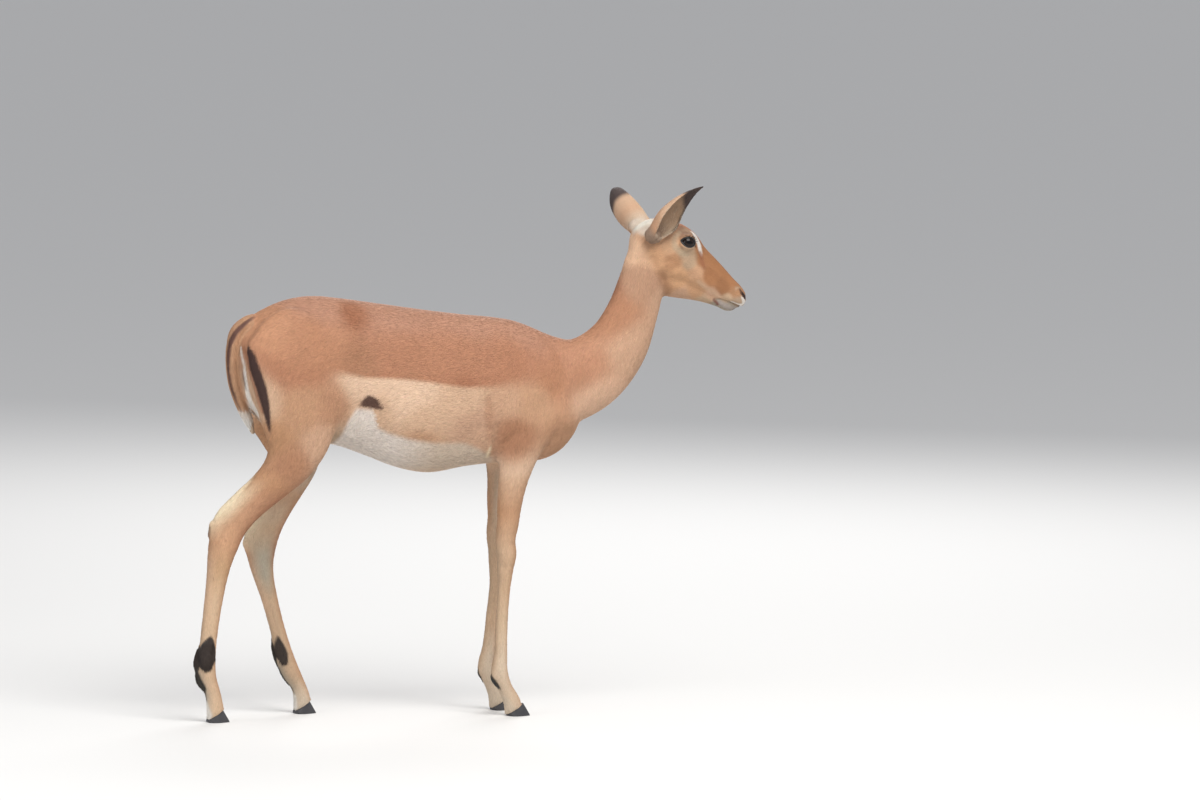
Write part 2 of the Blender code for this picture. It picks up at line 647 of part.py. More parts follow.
def ear(side, home):
    """A cupped leaf, rolled shut towards its root, as thick as an ear is."""
    root, tip, opens = (np.array(v, float) for v in EARS[side])
    reach = np.linalg.norm(tip - root)
    along = (tip - root) / reach
    facing = opens - along * (opens @ along)
    facing /= np.linalg.norm(facing)
    across = np.cross(along, facing)
    u = 1 - (1 - np.linspace(0.0, 1.0, 13)) ** 1.25
    v = np.linspace(-1.0, 1.0, 9)
    shares, radii, angles = (np.array(column, float) for column in zip(*EAR_ARCS[side]))
    radius = np.interp(u, shares, radii)[:, None]
    turn = np.radians(np.interp(u, shares, angles))[:, None] * v
    spine = root + along * (u * reach)[:, None] - facing * (EAR_BOW * 4 * u * (1 - u))[:, None]
    half = EAR_THICKNESS / 2 * np.interp(u, (0.0, 0.7, 1.0), (1.0, 0.8, 0.45))[:, None]

    def shell(swell):
        sideways = (radius + swell) * np.sin(turn)
        inwards = radius - (radius + swell) * np.cos(turn)
        return spine[:, None] + across * sideways[..., None] + facing * inwards[..., None]

    points = np.concatenate([shell(half).reshape(-1, 3), shell(-half).reshape(-1, 3)])
    rows, columns = len(u), len(v)
    lower = rows * columns
    faces = []
    for i in range(rows - 1):
        for j in range(columns - 1):
            a = i * columns + j
            quad = (a, a + 1, a + columns + 1, a + columns)
            faces.append(quad)
            faces.append(tuple(lower + k for k in reversed(quad)))
    rim = [(0, j) for j in range(columns)] + [(i, columns - 1) for i in range(1, rows)]
    rim += [(rows - 1, j) for j in range(columns - 2, -1, -1)] + [(i, 0) for i in range(rows - 2, 0, -1)]
    index = [i * columns + j for i, j in rim]
    for a, b in zip(index, index[1:] + index[:1]):
        faces.append((b, a, lower + a, lower + b))
    made = add_object("ear_" + SIDE_NAMES[side], mesh_of("ear", points, faces), home)
    tidy_mesh(made)
    return made


def claw(name, foot, inner, home):
    """One claw of a foot: upright at the cleft, bulging outside, drawn to a point at the toe."""
    heel, toe, middle, side = foot
    levels = np.array([0.0, 0.003, 0.014, 0.032])
    back = heel - levels * 0.10
    front = toe - levels * 0.30
    width = SOLE_HALF - CLEFT / 2 - np.interp(levels, (0.0, 0.003, 0.032), (0.0010, 0.0, 0.0020))
    t = np.array([0.0, 0.05, 0.14, 0.32, 0.50, 0.66, 0.80, 0.91, 1.0])
    bulge = np.sqrt(np.clip(t / 0.14, 0, 1)) * np.clip((1 - t) / 0.60, 0, 1) ** 0.62
    grid = []
    for z, rear, nose, w in zip(levels, back, front, width):
        x = rear + (nose - rear) * t
        outside = CLEFT / 2 + 0.0016 + (w - 0.0016) * bulge
        inside = np.full_like(x, CLEFT / 2)
        height = np.full_like(x, z)
        out = np.stack([x, outside, height], 1)
        home_way = np.stack([x, inside, height], 1)[::-2]
        grid.append(np.concatenate([out, home_way]))
    grid = np.array(grid)
    grid[..., 1] = side * (middle + (-grid[..., 1] if inner else grid[..., 1]))
    rings, sides = grid.shape[:2]
    faces = [
        (r * sides + k, r * sides + (k + 1) % sides, (r + 1) * sides + (k + 1) % sides, (r + 1) * sides + k)
        for r in range(rings - 1)
        for k in range(sides)
    ]
    faces.append(tuple(range(sides)))
    faces.append(tuple((rings - 1) * sides + k for k in range(sides)))
    made = add_object(name, mesh_of(name, grid.reshape(-1, 3), faces), home)
    tidy_mesh(made)
    return made


def above_coronet(foot, back, home):
    """Everything above the slanted line where hair meets hoof."""
    heel, toe, middle, side = foot
    tilt = -math.degrees(math.atan2(CORONET_FRONT - CORONET_HEEL, toe - heel - 0.022))
    placed = Matrix.Translation((heel, side * middle, CORONET_HEEL)) @ Matrix.Rotation(math.radians(tilt), 4, "Y")
    return cutter_box("above", (-0.3, -0.05, -back), (0.3, 0.05, 0.6), placed, home)


def feet(pieces, home, cutters):
    """Cuts each lower leg along the coronet and sets two claws under it."""
    for leg, foot in FEET.items():
        limb, side = leg.split("_")
        hair, horn = above_coronet(foot, 0.0, cutters), above_coronet(foot, GAP, cutters)
        lower = limb + "_lower_" + side
        pieces[lower] = boolean(pieces[lower], hair, "INTERSECT", home)
        keep_largest(pieces[lower])
        for inner in (False, True):
            name = "hoof_" + limb[:-3] + "_" + side + ("_inner" if inner else "_outer")
            pieces[name] = boolean(claw(name, foot, inner, home), horn, "DIFFERENCE", home)
        for cutter in (hair, horn):
            bpy.data.objects.remove(cutter, do_unlink=True)


def add_features(pieces, home, cutters):
    for side in (RIGHT, LEFT):
        name = SIDE_NAMES[side]
        centre = head_point(EYE_AT[0], EYE_AT[1], EYE_AT[2] * side)
        socket = ball("socket", centre, EYE_RADIUS + GAP, cutters)
        pieces["head"] = boolean(pieces["head"], socket, "DIFFERENCE", home)
        bpy.data.objects.remove(socket, do_unlink=True)
        pieces["eye_" + name] = ball("eye_" + name, centre, EYE_RADIUS, home)
    for part, blocks in (("tail", ("trunk",)), ("ear_right", ("head", "neck")), ("ear_left", ("head", "neck"))):
        made = loft("tail", TAIL, home, 14, 0.016) if part == "tail" else ear(RIGHT if "right" in part else LEFT, home)
        for other in blocks:
            shell = grown(pieces[other], GAP, "shell", cutters)
            made = boolean(made, shell, "DIFFERENCE", home)
            keep_largest(made)
            bpy.data.objects.remove(shell, do_unlink=True)
        pieces[part] = made


def finish(pieces):
    """Names, materials, and the middle of the animal's box brought over the origin."""
    fawn = material("short fawn coat", FAWN, 0.75)
    rust = material("short rust coat", RUST, 0.75)
    tan = material("short tan coat", TAN, 0.75)
    horn = material("hoof horn", HORN, 0.45)
    wet = material("eye", EYE, 0.08)
    finishes = {"trunk": rust, "head": rust, "neck": rust, "eye": wet, "hoof": horn, "foreleg": tan, "hindleg": tan}
    corners = np.concatenate([points_of(item.data) for item in pieces.values()])
    middle = (corners.min(axis=0) + corners.max(axis=0)) / 2
    shift = Matrix.Translation((-middle[0], -middle[1], -corners[:, 2].min()))
    for name, item in pieces.items():
        item.name = name
        item.data.name = name
        item.data.transform(shift)
        tidy_mesh(item)
        item.data.materials.clear()
        item.data.materials.append(finishes.get(name.split("_")[0], fawn))


def main():
    clear_scene()
    home = collection("impala")
    cutters = collection("cutters", hidden=True)
    body = fused_body(home)
    pieces = parted_flesh(body, home, cutters)
    feet(pieces, home, cutters)
    add_features(pieces, home, cutters)
    finish(pieces)


main()
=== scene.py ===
"""An impala ewe, life size: one skin under a coat of short hair, wet eyes with lids and lashes, hooves."""

import math
from collections import namedtuple

import bmesh
import bpy
import numpy as np
from mathutils import Matrix, Vector


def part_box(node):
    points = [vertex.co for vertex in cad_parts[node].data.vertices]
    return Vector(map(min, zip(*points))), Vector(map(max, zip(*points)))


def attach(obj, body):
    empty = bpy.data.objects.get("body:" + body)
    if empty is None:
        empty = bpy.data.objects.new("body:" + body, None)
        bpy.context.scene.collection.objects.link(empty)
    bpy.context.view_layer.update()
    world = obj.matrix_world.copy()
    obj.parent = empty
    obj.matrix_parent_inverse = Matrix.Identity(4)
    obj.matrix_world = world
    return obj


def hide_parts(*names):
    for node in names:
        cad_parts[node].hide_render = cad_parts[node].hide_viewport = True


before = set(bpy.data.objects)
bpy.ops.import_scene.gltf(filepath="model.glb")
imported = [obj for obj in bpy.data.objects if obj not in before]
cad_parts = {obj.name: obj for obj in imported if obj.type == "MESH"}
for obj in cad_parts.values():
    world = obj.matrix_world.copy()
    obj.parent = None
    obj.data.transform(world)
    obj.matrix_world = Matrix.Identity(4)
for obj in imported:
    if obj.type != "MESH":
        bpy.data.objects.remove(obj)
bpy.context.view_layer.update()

FUSE_VOXEL = 0.0044  # first fusing of the masses, before they are softened
SKIN_VOXEL = 0.0013  # second fusing, with ears and tail, before the fine forms
SOFTEN_ROUNDS = 60
SKIN_TRIANGLES = 194000
EYE_RADIUS = 0.0165
EAR_THICKNESS = 0.0036
HEAD_PLACE, HEAD_FACING = (0.355, 0.0, 0.961), (0.883, 0.0, 0.469)  # the plane between neck and head
MOST_TUFTS = 23000  # in one piece of coat
ROOT_DEPTH = 0.0004  # of a tuft below the skin
PATCH = 0.003  # size of a tuft's place on its unwrapping
BINS = 24  # stretches of a piece whose middles its unwrapping turns about
CELL_STEPS, SIZE_STEP = (1, 4001, 16000003), 7919  # keep cells apart when summed into one number
FLOOR_HALF = 60.0
SEED = 7

RIGHT, LEFT = -1, 1

# One ring of a loft: its centre, and how far it reaches to the top (or front), bottom (or back) and sideways.
Ring = namedtuple("Ring", "x y z up down side")

# The head's own axis runs from the poll to the nose: a is along it, b across it.
POLL = Vector((0.352, 0.0, 1.024))
HEAD_PITCH = math.radians(28.9)
HEAD_ALONG = Vector((math.cos(HEAD_PITCH), 0.0, -math.sin(HEAD_PITCH)))
HEAD_UP = Vector((math.sin(HEAD_PITCH), 0.0, math.cos(HEAD_PITCH)))
EYE_AT = (0.076, 0.0235, 0.0425)  # a, b and y


def head_point(a, b, y=0.0):
    """The poll, plus a along the head, b up across it and y to the left."""
    return POLL + HEAD_ALONG * a + HEAD_UP * b + Vector((0.0, y, 0.0))


# ---------------------------------------------------------------- the body's profiles

# Trunk, rump to chest: x, top, bottom, half width, height of the widest point as a share.
TRUNK = (
    (-0.558, 0.812, 0.739, 0.02, 0.5), (-0.548, 0.832, 0.694, 0.042, 0.52),
    (-0.522, 0.854, 0.654, 0.066, 0.54), (-0.495, 0.873, 0.624, 0.08, 0.56),
    (-0.457, 0.889, 0.602, 0.09, 0.56), (-0.397, 0.8995, 0.588, 0.095, 0.56),
    (-0.33, 0.8945, 0.576, 0.096, 0.54), (-0.267, 0.886, 0.554, 0.099, 0.5),
    (-0.196, 0.876, 0.528, 0.107, 0.47), (-0.136, 0.8675, 0.517, 0.111, 0.45),
    (-0.044, 0.8565, 0.53, 0.106, 0.45), (0.016, 0.851, 0.535, 0.097, 0.46),
    (0.065, 0.842, 0.535, 0.086, 0.47), (0.1, 0.829, 0.537, 0.078, 0.48), (0.143, 0.811, 0.547, 0.068, 0.5),
    (0.178, 0.801, 0.572, 0.058, 0.52), (0.203, 0.784, 0.612, 0.044, 0.54),
    (0.217, 0.754, 0.659, 0.024, 0.54),
)

NECK = (
    Ring(0.09, 0.0, 0.694, 0.085, 0.1, 0.064),
    Ring(0.165, 0.0, 0.708, 0.085, 0.098, 0.06),
    Ring(0.228, 0.0, 0.73, 0.081, 0.088, 0.053),
    Ring(0.288, 0.0, 0.784, 0.069, 0.073, 0.046),
    Ring(0.322, 0.0, 0.854, 0.057, 0.06, 0.0405),
    Ring(0.343, 0.0, 0.924, 0.05, 0.054, 0.0385),
    Ring(0.36, 0.0, 0.976, 0.047, 0.048, 0.039),
    Ring(0.38, 0.0, 1.008, 0.034, 0.04, 0.037),
)

# Head: a, top, bottom, half width, height of the widest point as a share.
FACE = (
    (-0.027, 0.004, -0.026, 0.02, 0.55), (-0.014, 0.026, -0.052, 0.034, 0.58),
    (0.02, 0.046, -0.078, 0.043, 0.62), (0.058, 0.056, -0.08, 0.047, 0.66),
    (0.085, 0.0545, -0.076, 0.0465, 0.7), (0.104, 0.049, -0.07, 0.0435, 0.68),
    (0.126, 0.0385, -0.062, 0.0385, 0.62), (0.16, 0.029, -0.056, 0.0325, 0.55),
    (0.19, 0.02, -0.052, 0.0275, 0.48), (0.222, 0.0095, -0.048, 0.0245, 0.45),
    (0.244, 0.0035, -0.044, 0.0235, 0.45), (0.259, -0.0045, -0.04, 0.0195, 0.48),
    (0.268, -0.015, -0.034, 0.011, 0.5),
)

JAW = (
    (0.03, -0.03, -0.08, 0.02, 0.6), (0.07, -0.03, -0.096, 0.032, 0.55),
    (0.1, -0.034, -0.0975, 0.032, 0.55), (0.128, -0.038, -0.088, 0.027, 0.55),
    (0.16, -0.04, -0.0755, 0.0215, 0.55), (0.195, -0.042, -0.065, 0.018, 0.55),
    (0.222, -0.04, -0.06, 0.0165, 0.55), (0.24, -0.038, -0.059, 0.0155, 0.55),
    (0.253, -0.04, -0.053, 0.011, 0.5),
)

# Legs from the top down. Up is the front of the leg, down is its back.
FORELEG = (
    Ring(0.078, 0.052, 0.694, 0.062, 0.062, 0.018),
    Ring(0.082, 0.06, 0.654, 0.064, 0.062, 0.026),
    Ring(0.066, 0.067, 0.604, 0.058, 0.052, 0.031),
    Ring(0.052, 0.067, 0.549, 0.043, 0.043, 0.03),
    Ring(0.043, 0.064, 0.498, 0.033, 0.034, 0.0265),
    Ring(0.038, 0.061, 0.454, 0.0285, 0.029, 0.023),
    Ring(0.036, 0.058, 0.412, 0.025, 0.0255, 0.0205),
    Ring(0.031, 0.056, 0.376, 0.0235, 0.0225, 0.0205),
    Ring(0.0345, 0.055, 0.347, 0.023, 0.022, 0.0215),
    Ring(0.033, 0.054, 0.314, 0.019, 0.0185, 0.0175),
    Ring(0.032, 0.053, 0.279, 0.0152, 0.0155, 0.0138),
    Ring(0.0285, 0.052, 0.204, 0.0142, 0.0148, 0.0125),
    Ring(0.0275, 0.052, 0.134, 0.015, 0.0155, 0.0135),
    Ring(0.027, 0.052, 0.09, 0.0178, 0.02, 0.0168),
    Ring(0.039, 0.052, 0.06, 0.016, 0.0165, 0.0158),
    Ring(0.055, 0.052, 0.03, 0.0185, 0.0205, 0.018),
    Ring(0.062, 0.052, 0.006, 0.0185, 0.024, 0.018),
)

# The right hind leg stands back, the left one forward.
HINDLEG_BACK = (
    Ring(-0.42, 0.044, 0.869, 0.03, 0.04, 0.018),
    Ring(-0.432, 0.056, 0.829, 0.062, 0.088, 0.03),
    Ring(-0.44, 0.066, 0.779, 0.086, 0.112, 0.038),
    Ring(-0.44, 0.074, 0.709, 0.092, 0.1, 0.041),
    Ring(-0.437, 0.079, 0.644, 0.088, 0.09, 0.04),
    Ring(-0.44, 0.08, 0.594, 0.074, 0.074, 0.037),
    Ring(-0.454, 0.078, 0.552, 0.056, 0.06, 0.033),
    Ring(-0.48, 0.075, 0.519, 0.044, 0.048, 0.029),
    Ring(-0.512, 0.072, 0.489, 0.04, 0.042, 0.0255),
    Ring(-0.545, 0.069, 0.456, 0.036, 0.043, 0.0225),
    Ring(-0.576, 0.066, 0.416, 0.034, 0.047, 0.0205),
    Ring(-0.596, 0.064, 0.372, 0.034, 0.033, 0.0205),
    Ring(-0.6045, 0.062, 0.319, 0.025, 0.0255, 0.017),
    Ring(-0.6125, 0.061, 0.262, 0.0215, 0.0215, 0.0142),
    Ring(-0.619, 0.06, 0.209, 0.02, 0.0195, 0.0135),
    Ring(-0.624, 0.06, 0.154, 0.0195, 0.0195, 0.014),
    Ring(-0.624, 0.06, 0.094, 0.0208, 0.022, 0.0172),
    Ring(-0.6115, 0.06, 0.062, 0.0175, 0.0175, 0.016),
    Ring(-0.6055, 0.06, 0.032, 0.019, 0.02, 0.018),
    Ring(-0.602, 0.06, 0.006, 0.019, 0.023, 0.018),
)

HINDLEG_FORWARD = (
    Ring(-0.42, 0.044, 0.869, 0.03, 0.04, 0.018),
    Ring(-0.43, 0.056, 0.829, 0.062, 0.09, 0.03),
    Ring(-0.434, 0.066, 0.779, 0.086, 0.116, 0.038),
    Ring(-0.426, 0.074, 0.709, 0.092, 0.112, 0.041),
    Ring(-0.408, 0.08, 0.644, 0.086, 0.1, 0.04),
    Ring(-0.396, 0.08, 0.589, 0.072, 0.082, 0.037),
    Ring(-0.396, 0.077, 0.534, 0.052, 0.06, 0.032),
    Ring(-0.414, 0.074, 0.486, 0.04, 0.048, 0.028),
    Ring(-0.436, 0.071, 0.444, 0.034, 0.041, 0.0245),
    Ring(-0.456, 0.068, 0.404, 0.032, 0.042, 0.022),
    Ring(-0.471, 0.066, 0.364, 0.033, 0.043, 0.0205),
    Ring(-0.474, 0.064, 0.332, 0.03, 0.03, 0.02),
    Ring(-0.467, 0.062, 0.292, 0.023, 0.023, 0.017),
    Ring(-0.455, 0.061, 0.249, 0.019, 0.019, 0.0142),
    Ring(-0.441, 0.06, 0.199, 0.0175, 0.0175, 0.0135),
    Ring(-0.4255, 0.06, 0.149, 0.0175, 0.018, 0.014),
    Ring(-0.4055, 0.06, 0.09, 0.0205, 0.022, 0.0172),
    Ring(-0.387, 0.06, 0.058, 0.0168, 0.017, 0.016),
    Ring(-0.3785, 0.06, 0.03, 0.019, 0.02, 0.018),
    Ring(-0.3755, 0.06, 0.006, 0.019, 0.023, 0.018),
)

TAIL = (
    Ring(-0.5, 0.0, 0.846, 0.014, 0.018, 0.018),
    Ring(-0.53, 0.0, 0.84, 0.019, 0.017, 0.024),
    Ring(-0.553, 0.0, 0.822, 0.017, 0.016, 0.024),
    Ring(-0.562, 0.0, 0.789, 0.014, 0.015, 0.021),
    Ring(-0.563, 0.0, 0.749, 0.014, 0.014, 0.021),
    Ring(-0.555, 0.0, 0.704, 0.014, 0.014, 0.02),
    Ring(-0.541, 0.0, 0.666, 0.013, 0.013, 0.018),
    Ring(-0.524, 0.0, 0.631, 0.011, 0.011, 0.014),
    Ring(-0.513, 0.0, 0.604, 0.005, 0.005, 0.006),
)

# The left foreleg stands with its knee a little ahead of the right one: height and how far ahead.
FORELEG_AHEAD = ((0.0, -0.003), (0.1, 0.003), (0.25, 0.015), (0.5, 0.016), (0.62, 0.0))

# Feet: sole from heel to toe, middle of the sole sideways, and the side it stands on.
FEET = {
    "foreleg_right": (0.045, 0.088, 0.052, RIGHT),
    "foreleg_left": (0.041, 0.084, 0.052, LEFT),
    "hindleg_right": (-0.622, -0.58, 0.06, RIGHT),
    "hindleg_left": (-0.396, -0.354, 0.06, LEFT),
}
SOLE_HALF = 0.0195  # half the width of a foot at the sole
CORONET_FRONT = 0.019  # height of the top of the hoof in front
CORONET_HEEL = 0.0055  # and at the heel
CORONET_SHORT = 0.022  # how far short of the toe the top reaches its full height

# Ears: root, tip, and the way the cup opens. The right one is rolled, the left one spread.
EARS = {
    RIGHT: ((0.3435, -0.048, 1.0285), (0.446, -0.098, 1.132), (0.25, -0.82, -0.5)),
    LEFT: ((0.345, 0.036, 1.034), (0.326, 0.164, 1.106), (0.7, 0.6, -0.1)),
}
EAR_BOW = 0.021
# Across an ear it is an arc: share of the length, radius, and half its opening angle in degrees.
EAR_ARCS = {
    RIGHT: (
        (-0.1, 0.005, 160),
        (-0.04, 0.01, 152),
        (0.0, 0.0135, 145),
        (0.15, 0.0215, 125),
        (0.3, 0.0285, 104),
        (0.5, 0.023, 93),
        (0.7, 0.0155, 82),
        (0.86, 0.0085, 72),
        (0.95, 0.0045, 66),
        (1.0, 0.002, 60),
    ),
    LEFT: (
        (-0.1, 0.007, 150),
        (-0.04, 0.0145, 135),
        (0.0, 0.019, 120),
        (0.15, 0.0255, 95),
        (0.3, 0.03, 82),
        (0.5, 0.031, 74),
        (0.7, 0.0285, 66),
        (0.86, 0.022, 60),
        (0.95, 0.013, 56),
        (1.0, 0.005, 52),
    ),
}

# Swellings and hollows laid over the fused body: centre, radii, turn about Y in degrees, height.
# They hold on both sides of the body, so y is a distance from the middle.
RELIEF = (
    ((0.112, 0.07, 0.739), (0.055, 0.07, 0.105), 24, 0.0055),  # shoulder blade
    ((0.148, 0.06, 0.642), (0.05, 0.06, 0.05), 0, 0.008),  # point of the shoulder
    ((0.05, 0.085, 0.644), (0.055, 0.06, 0.085), 10, 0.006),  # triceps
    ((0.196, 0.055, 0.704), (0.032, 0.06, 0.1), 24, -0.003),  # hollow before the shoulder
    ((-0.022, 0.09, 0.644), (0.036, 0.07, 0.1), 0, -0.004),  # behind the elbow
    ((-0.335, 0.065, 0.854), (0.05, 0.05, 0.032), 0, 0.004),  # hip bone
    ((-0.298, 0.1, 0.784), (0.065, 0.07, 0.065), 0, -0.005),  # hollow of the flank
    ((-0.312, 0.1, 0.664), (0.036, 0.07, 0.085), 20, -0.0045),  # flank fold
    ((-0.545, 0.045, 0.799), (0.032, 0.035, 0.045), 0, 0.005),  # pin bone
    ((-0.49, 0.11, 0.704), (0.03, 0.06, 0.12), -12, -0.003),  # groove between the thigh muscles
    ((-0.64, 0.066, 0.13), (0.028, 0.03, 0.045), 0, 0.009),  # gland tuft of the right hind leg
    ((-0.442, 0.066, 0.132), (0.028, 0.03, 0.045), 0, 0.0065),  # gland tuft of the left hind leg
    ((-0.65, 0.06, 0.082), (0.02, 0.022, 0.028), 0, 0.006),  # tuft behind the right hind fetlock
    ((0.003, 0.052, 0.07), (0.02, 0.022, 0.034), 0, 0.0055),  # tufts behind the front fetlocks
)

# The same for the head, with centres as a, b and y.
HEAD_RELIEF = (
    ((0.076, 0.0235, 0.05), (0.034, 0.03, 0.026), 0.0055),  # orbit
    ((0.066, 0.048, 0.042), (0.028, 0.022, 0.012), 0.0035),  # brow
    ((0.122, 0.005, 0.04), (0.026, 0.02, 0.018), -0.003),  # tear gland
    ((0.085, -0.046, 0.036), (0.04, 0.024, 0.034), 0.004),  # cheek
    ((0.165, -0.014, 0.032), (0.04, 0.02, 0.016), -0.0025),  # hollow of the face
    ((0.012, 0.016, 0.044), (0.022, 0.026, 0.022), 0.008),  # ear root
    ((0.245, -0.022, 0.022), (0.018, 0.016, 0.018), 0.0018),  # lip
)


# ---------------------------------------------------------------- mesh tools and lofts


def add_object(name, mesh, home):
    made = bpy.data.objects.new(name, mesh)
    home.objects.link(made)
    return made


def mesh_of(name, points, faces):
    mesh = bpy.data.meshes.new(name)
    mesh.from_pydata(np.asarray(points, float).tolist(), [], faces)
    mesh.update()
    return mesh


def applied(item, home):
    """The item with its modifiers applied, as a new object of the same name."""
    bpy.context.view_layer.update()
    graph = bpy.context.evaluated_depsgraph_get()
    mesh = bpy.data.meshes.new_from_object(item.evaluated_get(graph))
    name = item.name
    bpy.data.objects.remove(item, do_unlink=True)
    mesh.name = name
    return add_object(name, mesh, home)


def points_of(mesh):
    points = np.empty(len(mesh.vertices) * 3, np.float32)
    mesh.vertices.foreach_get("co", points)
    return points.reshape(-1, 3).astype(float)


def normals_of(mesh):
    normals = np.empty(len(mesh.vertices) * 3, np.float32)
    mesh.vertex_normals.foreach_get("vector", normals)
    return normals.reshape(-1, 3).astype(float)


def joined(items, name, home):
    meshes = bmesh.new()
    for item in items:
        meshes.from_mesh(item.data)
        bpy.data.objects.remove(item, do_unlink=True)
    mesh = bpy.data.meshes.new(name)
    meshes.to_mesh(mesh)
    meshes.free()
    return add_object(name, mesh, home)


def keep_largest(item):
    """Drops every loose shell but the one with the most faces."""
    work = bmesh.new()
    work.from_mesh(item.data)
    seen = set()
    shells = []
    for start in work.verts:
        if start in seen:
            continue
        seen.add(start)
        shell = [start]
        for vertex in shell:
            for edge in vertex.link_edges:
                other = edge.other_vert(vertex)
                if other not in seen:
                    seen.add(other)
                    shell.append(other)
        shells.append(shell)
    shells.sort(key=len)
    for shell in shells[:-1]:
        bmesh.ops.delete(work, geom=shell, context="VERTS")
    work.to_mesh(item.data)
    work.free()


def faced_out(item):
    """The item with all its faces turned outwards."""
    work = bmesh.new()
    work.from_mesh(item.data)
    bmesh.ops.recalc_face_normals(work, faces=work.faces)
    work.to_mesh(item.data)
    work.free()
    return item


def paint(mesh, colours, name="tone"):
    """Stores a colour for each point, under the name that the materials read."""
    layer = mesh.color_attributes.new(name, "FLOAT_COLOR", "POINT")
    values = np.ones((len(colours), 4), np.float32)
    values[:, :3] = colours
    layer.data.foreach_set("color", values.ravel())


def smooth_curve(knots, values, at):
    """Cubic Hermite curve through the values, with the slopes of its neighbours."""
    slopes = np.gradient(values, knots, axis=0)
    left = np.clip(np.searchsorted(knots, at, side="right") - 1, 0, len(knots) - 2)
    span = (knots[left + 1] - knots[left])[:, None]
    t = (at[:, None] - knots[left][:, None]) / span
    return (
        (2 * t**3 - 3 * t**2 + 1) * values[left]
        + (t**3 - 2 * t**2 + t) * span * slopes[left]
        + (3 * t**2 - 2 * t**3) * values[left + 1]
        + (t**3 - t**2) * span * slopes[left + 1]
    )


def loft_grid(rings, sides, step, egg, square, facing):
    """Points of a loft, as rings x sides x 3.

    The path runs smoothly through the rings' centres, and each section is a superellipse across it.
    Egg narrows a section towards its top. Facing fixes the way the sections look.
    """
    table = np.array(rings, float)
    chord = np.linalg.norm(np.diff(table[:, :3], axis=0), axis=1)
    knots = np.concatenate([[0.0], np.cumsum(chord)])
    at = np.linspace(0.0, knots[-1], max(6, int(knots[-1] / step)))
    values = smooth_curve(knots, table, at)
    centre = values[:, :3]
    reach = np.maximum(values[:, 3:], 0.001)
    along = np.gradient(centre, axis=0) if facing is None else np.tile(facing, (len(at), 1))
    along /= np.linalg.norm(along, axis=1)[:, None]
    across = np.array([0.0, 1.0, 0.0]) - along * along[:, 1:2]
    across /= np.linalg.norm(across, axis=1)[:, None]
    upward = np.cross(along, across)
    turn = np.linspace(0.0, 2 * math.pi, sides, endpoint=False)
    c = np.sign(np.cos(turn)) * np.abs(np.cos(turn)) ** (2 / square)
    s = np.sign(np.sin(turn)) * np.abs(np.sin(turn)) ** (2 / square)
    sideways = reach[:, 2:3] * c * (1 - egg * s)
    upwards = np.where(s > 0, reach[:, 0:1], reach[:, 1:2]) * s
    return centre[:, None] + across[:, None] * sideways[..., None] + upward[:, None] * upwards[..., None]


def closed_tube(name, grid, home, dome=0.35):
    """A tube through rings of points, its ends drawn to slightly domed points."""
    count, sides = grid.shape[:2]
    first, last = grid[0].mean(axis=0), grid[-1].mean(axis=0)
    first = first + (first - grid[1].mean(axis=0)) * dome
    last = last + (last - grid[-2].mean(axis=0)) * dome
    points = np.concatenate([grid.reshape(-1, 3), [first, last]])
    at = np.arange(count * sides).reshape(count, sides)
    after = np.roll(at, -1, axis=1)
    walls = np.stack([at[:-1], at[1:], after[1:], after[:-1]], -1).reshape(-1, 4)
    start, end = (np.full(sides, count * sides + k) for k in (0, 1))
    caps = np.stack([np.stack([start, at[0], after[0]], 1), np.stack([end, after[-1], at[-1]], 1)], 1)
    faces = walls.tolist() + caps.reshape(-1, 3).tolist()
    return faced_out(add_object(name, mesh_of(name, points, faces), home))


def loft(name, rings, home, sides=32, step=0.008, egg=0.0, square=2.0, facing=None):
    return closed_tube(name, loft_grid(rings, sides, step, egg, square, facing), home)


def profile_rings(profile, place):
    """Rings from (distance along, top, bottom, half width, share of the widest height)."""
    rings = []
    for along, top, bottom, side, share in profile:
        middle = bottom + (top - bottom) * share
        rings.append(Ring(*place(along, middle), top - middle, middle - bottom, side))
    return rings


def on_side(rings, side, forward=lambda z: 0.0):
    """The rings moved to one side, and forward by an amount that depends on height."""
    return [ring._replace(x=ring.x + forward(ring.z), y=ring.y * side) for ring in rings]


def foreleg_ahead(z):
    """How far the left foreleg stands ahead of the right one at a height."""
    return np.interp(z, *zip(*FORELEG_AHEAD))


def flesh_masses(home):
    """Every mass of the body, as closed overlapping shapes."""
    trunk = profile_rings(TRUNK, lambda x, z: (x, 0.0, z))
    masses = [
        loft("trunk_mass", trunk, home, sides=48, egg=0.22, square=2.1, facing=(1.0, 0.0, 0.0)),
        loft("neck_mass", NECK, home, sides=36),
        loft("face_mass", profile_rings(FACE, head_point), home, 36, 0.005, 0.1, 2.2, tuple(HEAD_ALONG)),
        loft("jaw_mass", profile_rings(JAW, head_point), home, 28, 0.005, 0.0, 2.0, tuple(HEAD_ALONG)),
    ]
    for side in (RIGHT, LEFT):
        hind = HINDLEG_BACK if side == RIGHT else HINDLEG_FORWARD
        ahead = on_side(FORELEG, side, foreleg_ahead if side == LEFT else lambda z: 0.0)
        masses.append(loft("foreleg_mass", ahead, home, sides=28, step=0.007))
        masses.append(loft("hindleg_mass", on_side(hind, side), home, sides=32, step=0.007))
    return masses


def head_axes(points):
    """The a, b and |y| of points, on the head's own axis."""
    offset = points - np.array(POLL)
    return np.stack([offset @ np.array(HEAD_ALONG), offset @ np.array(HEAD_UP), np.abs(points[:, 1])], axis=1)


def swelling(offset, radii):
    """1 at the middle of an ellipsoid, falling smoothly to 0 at its surface."""
    return np.clip(1 - ((offset / np.array(radii)) ** 2).sum(axis=1), 0, 1) ** 2


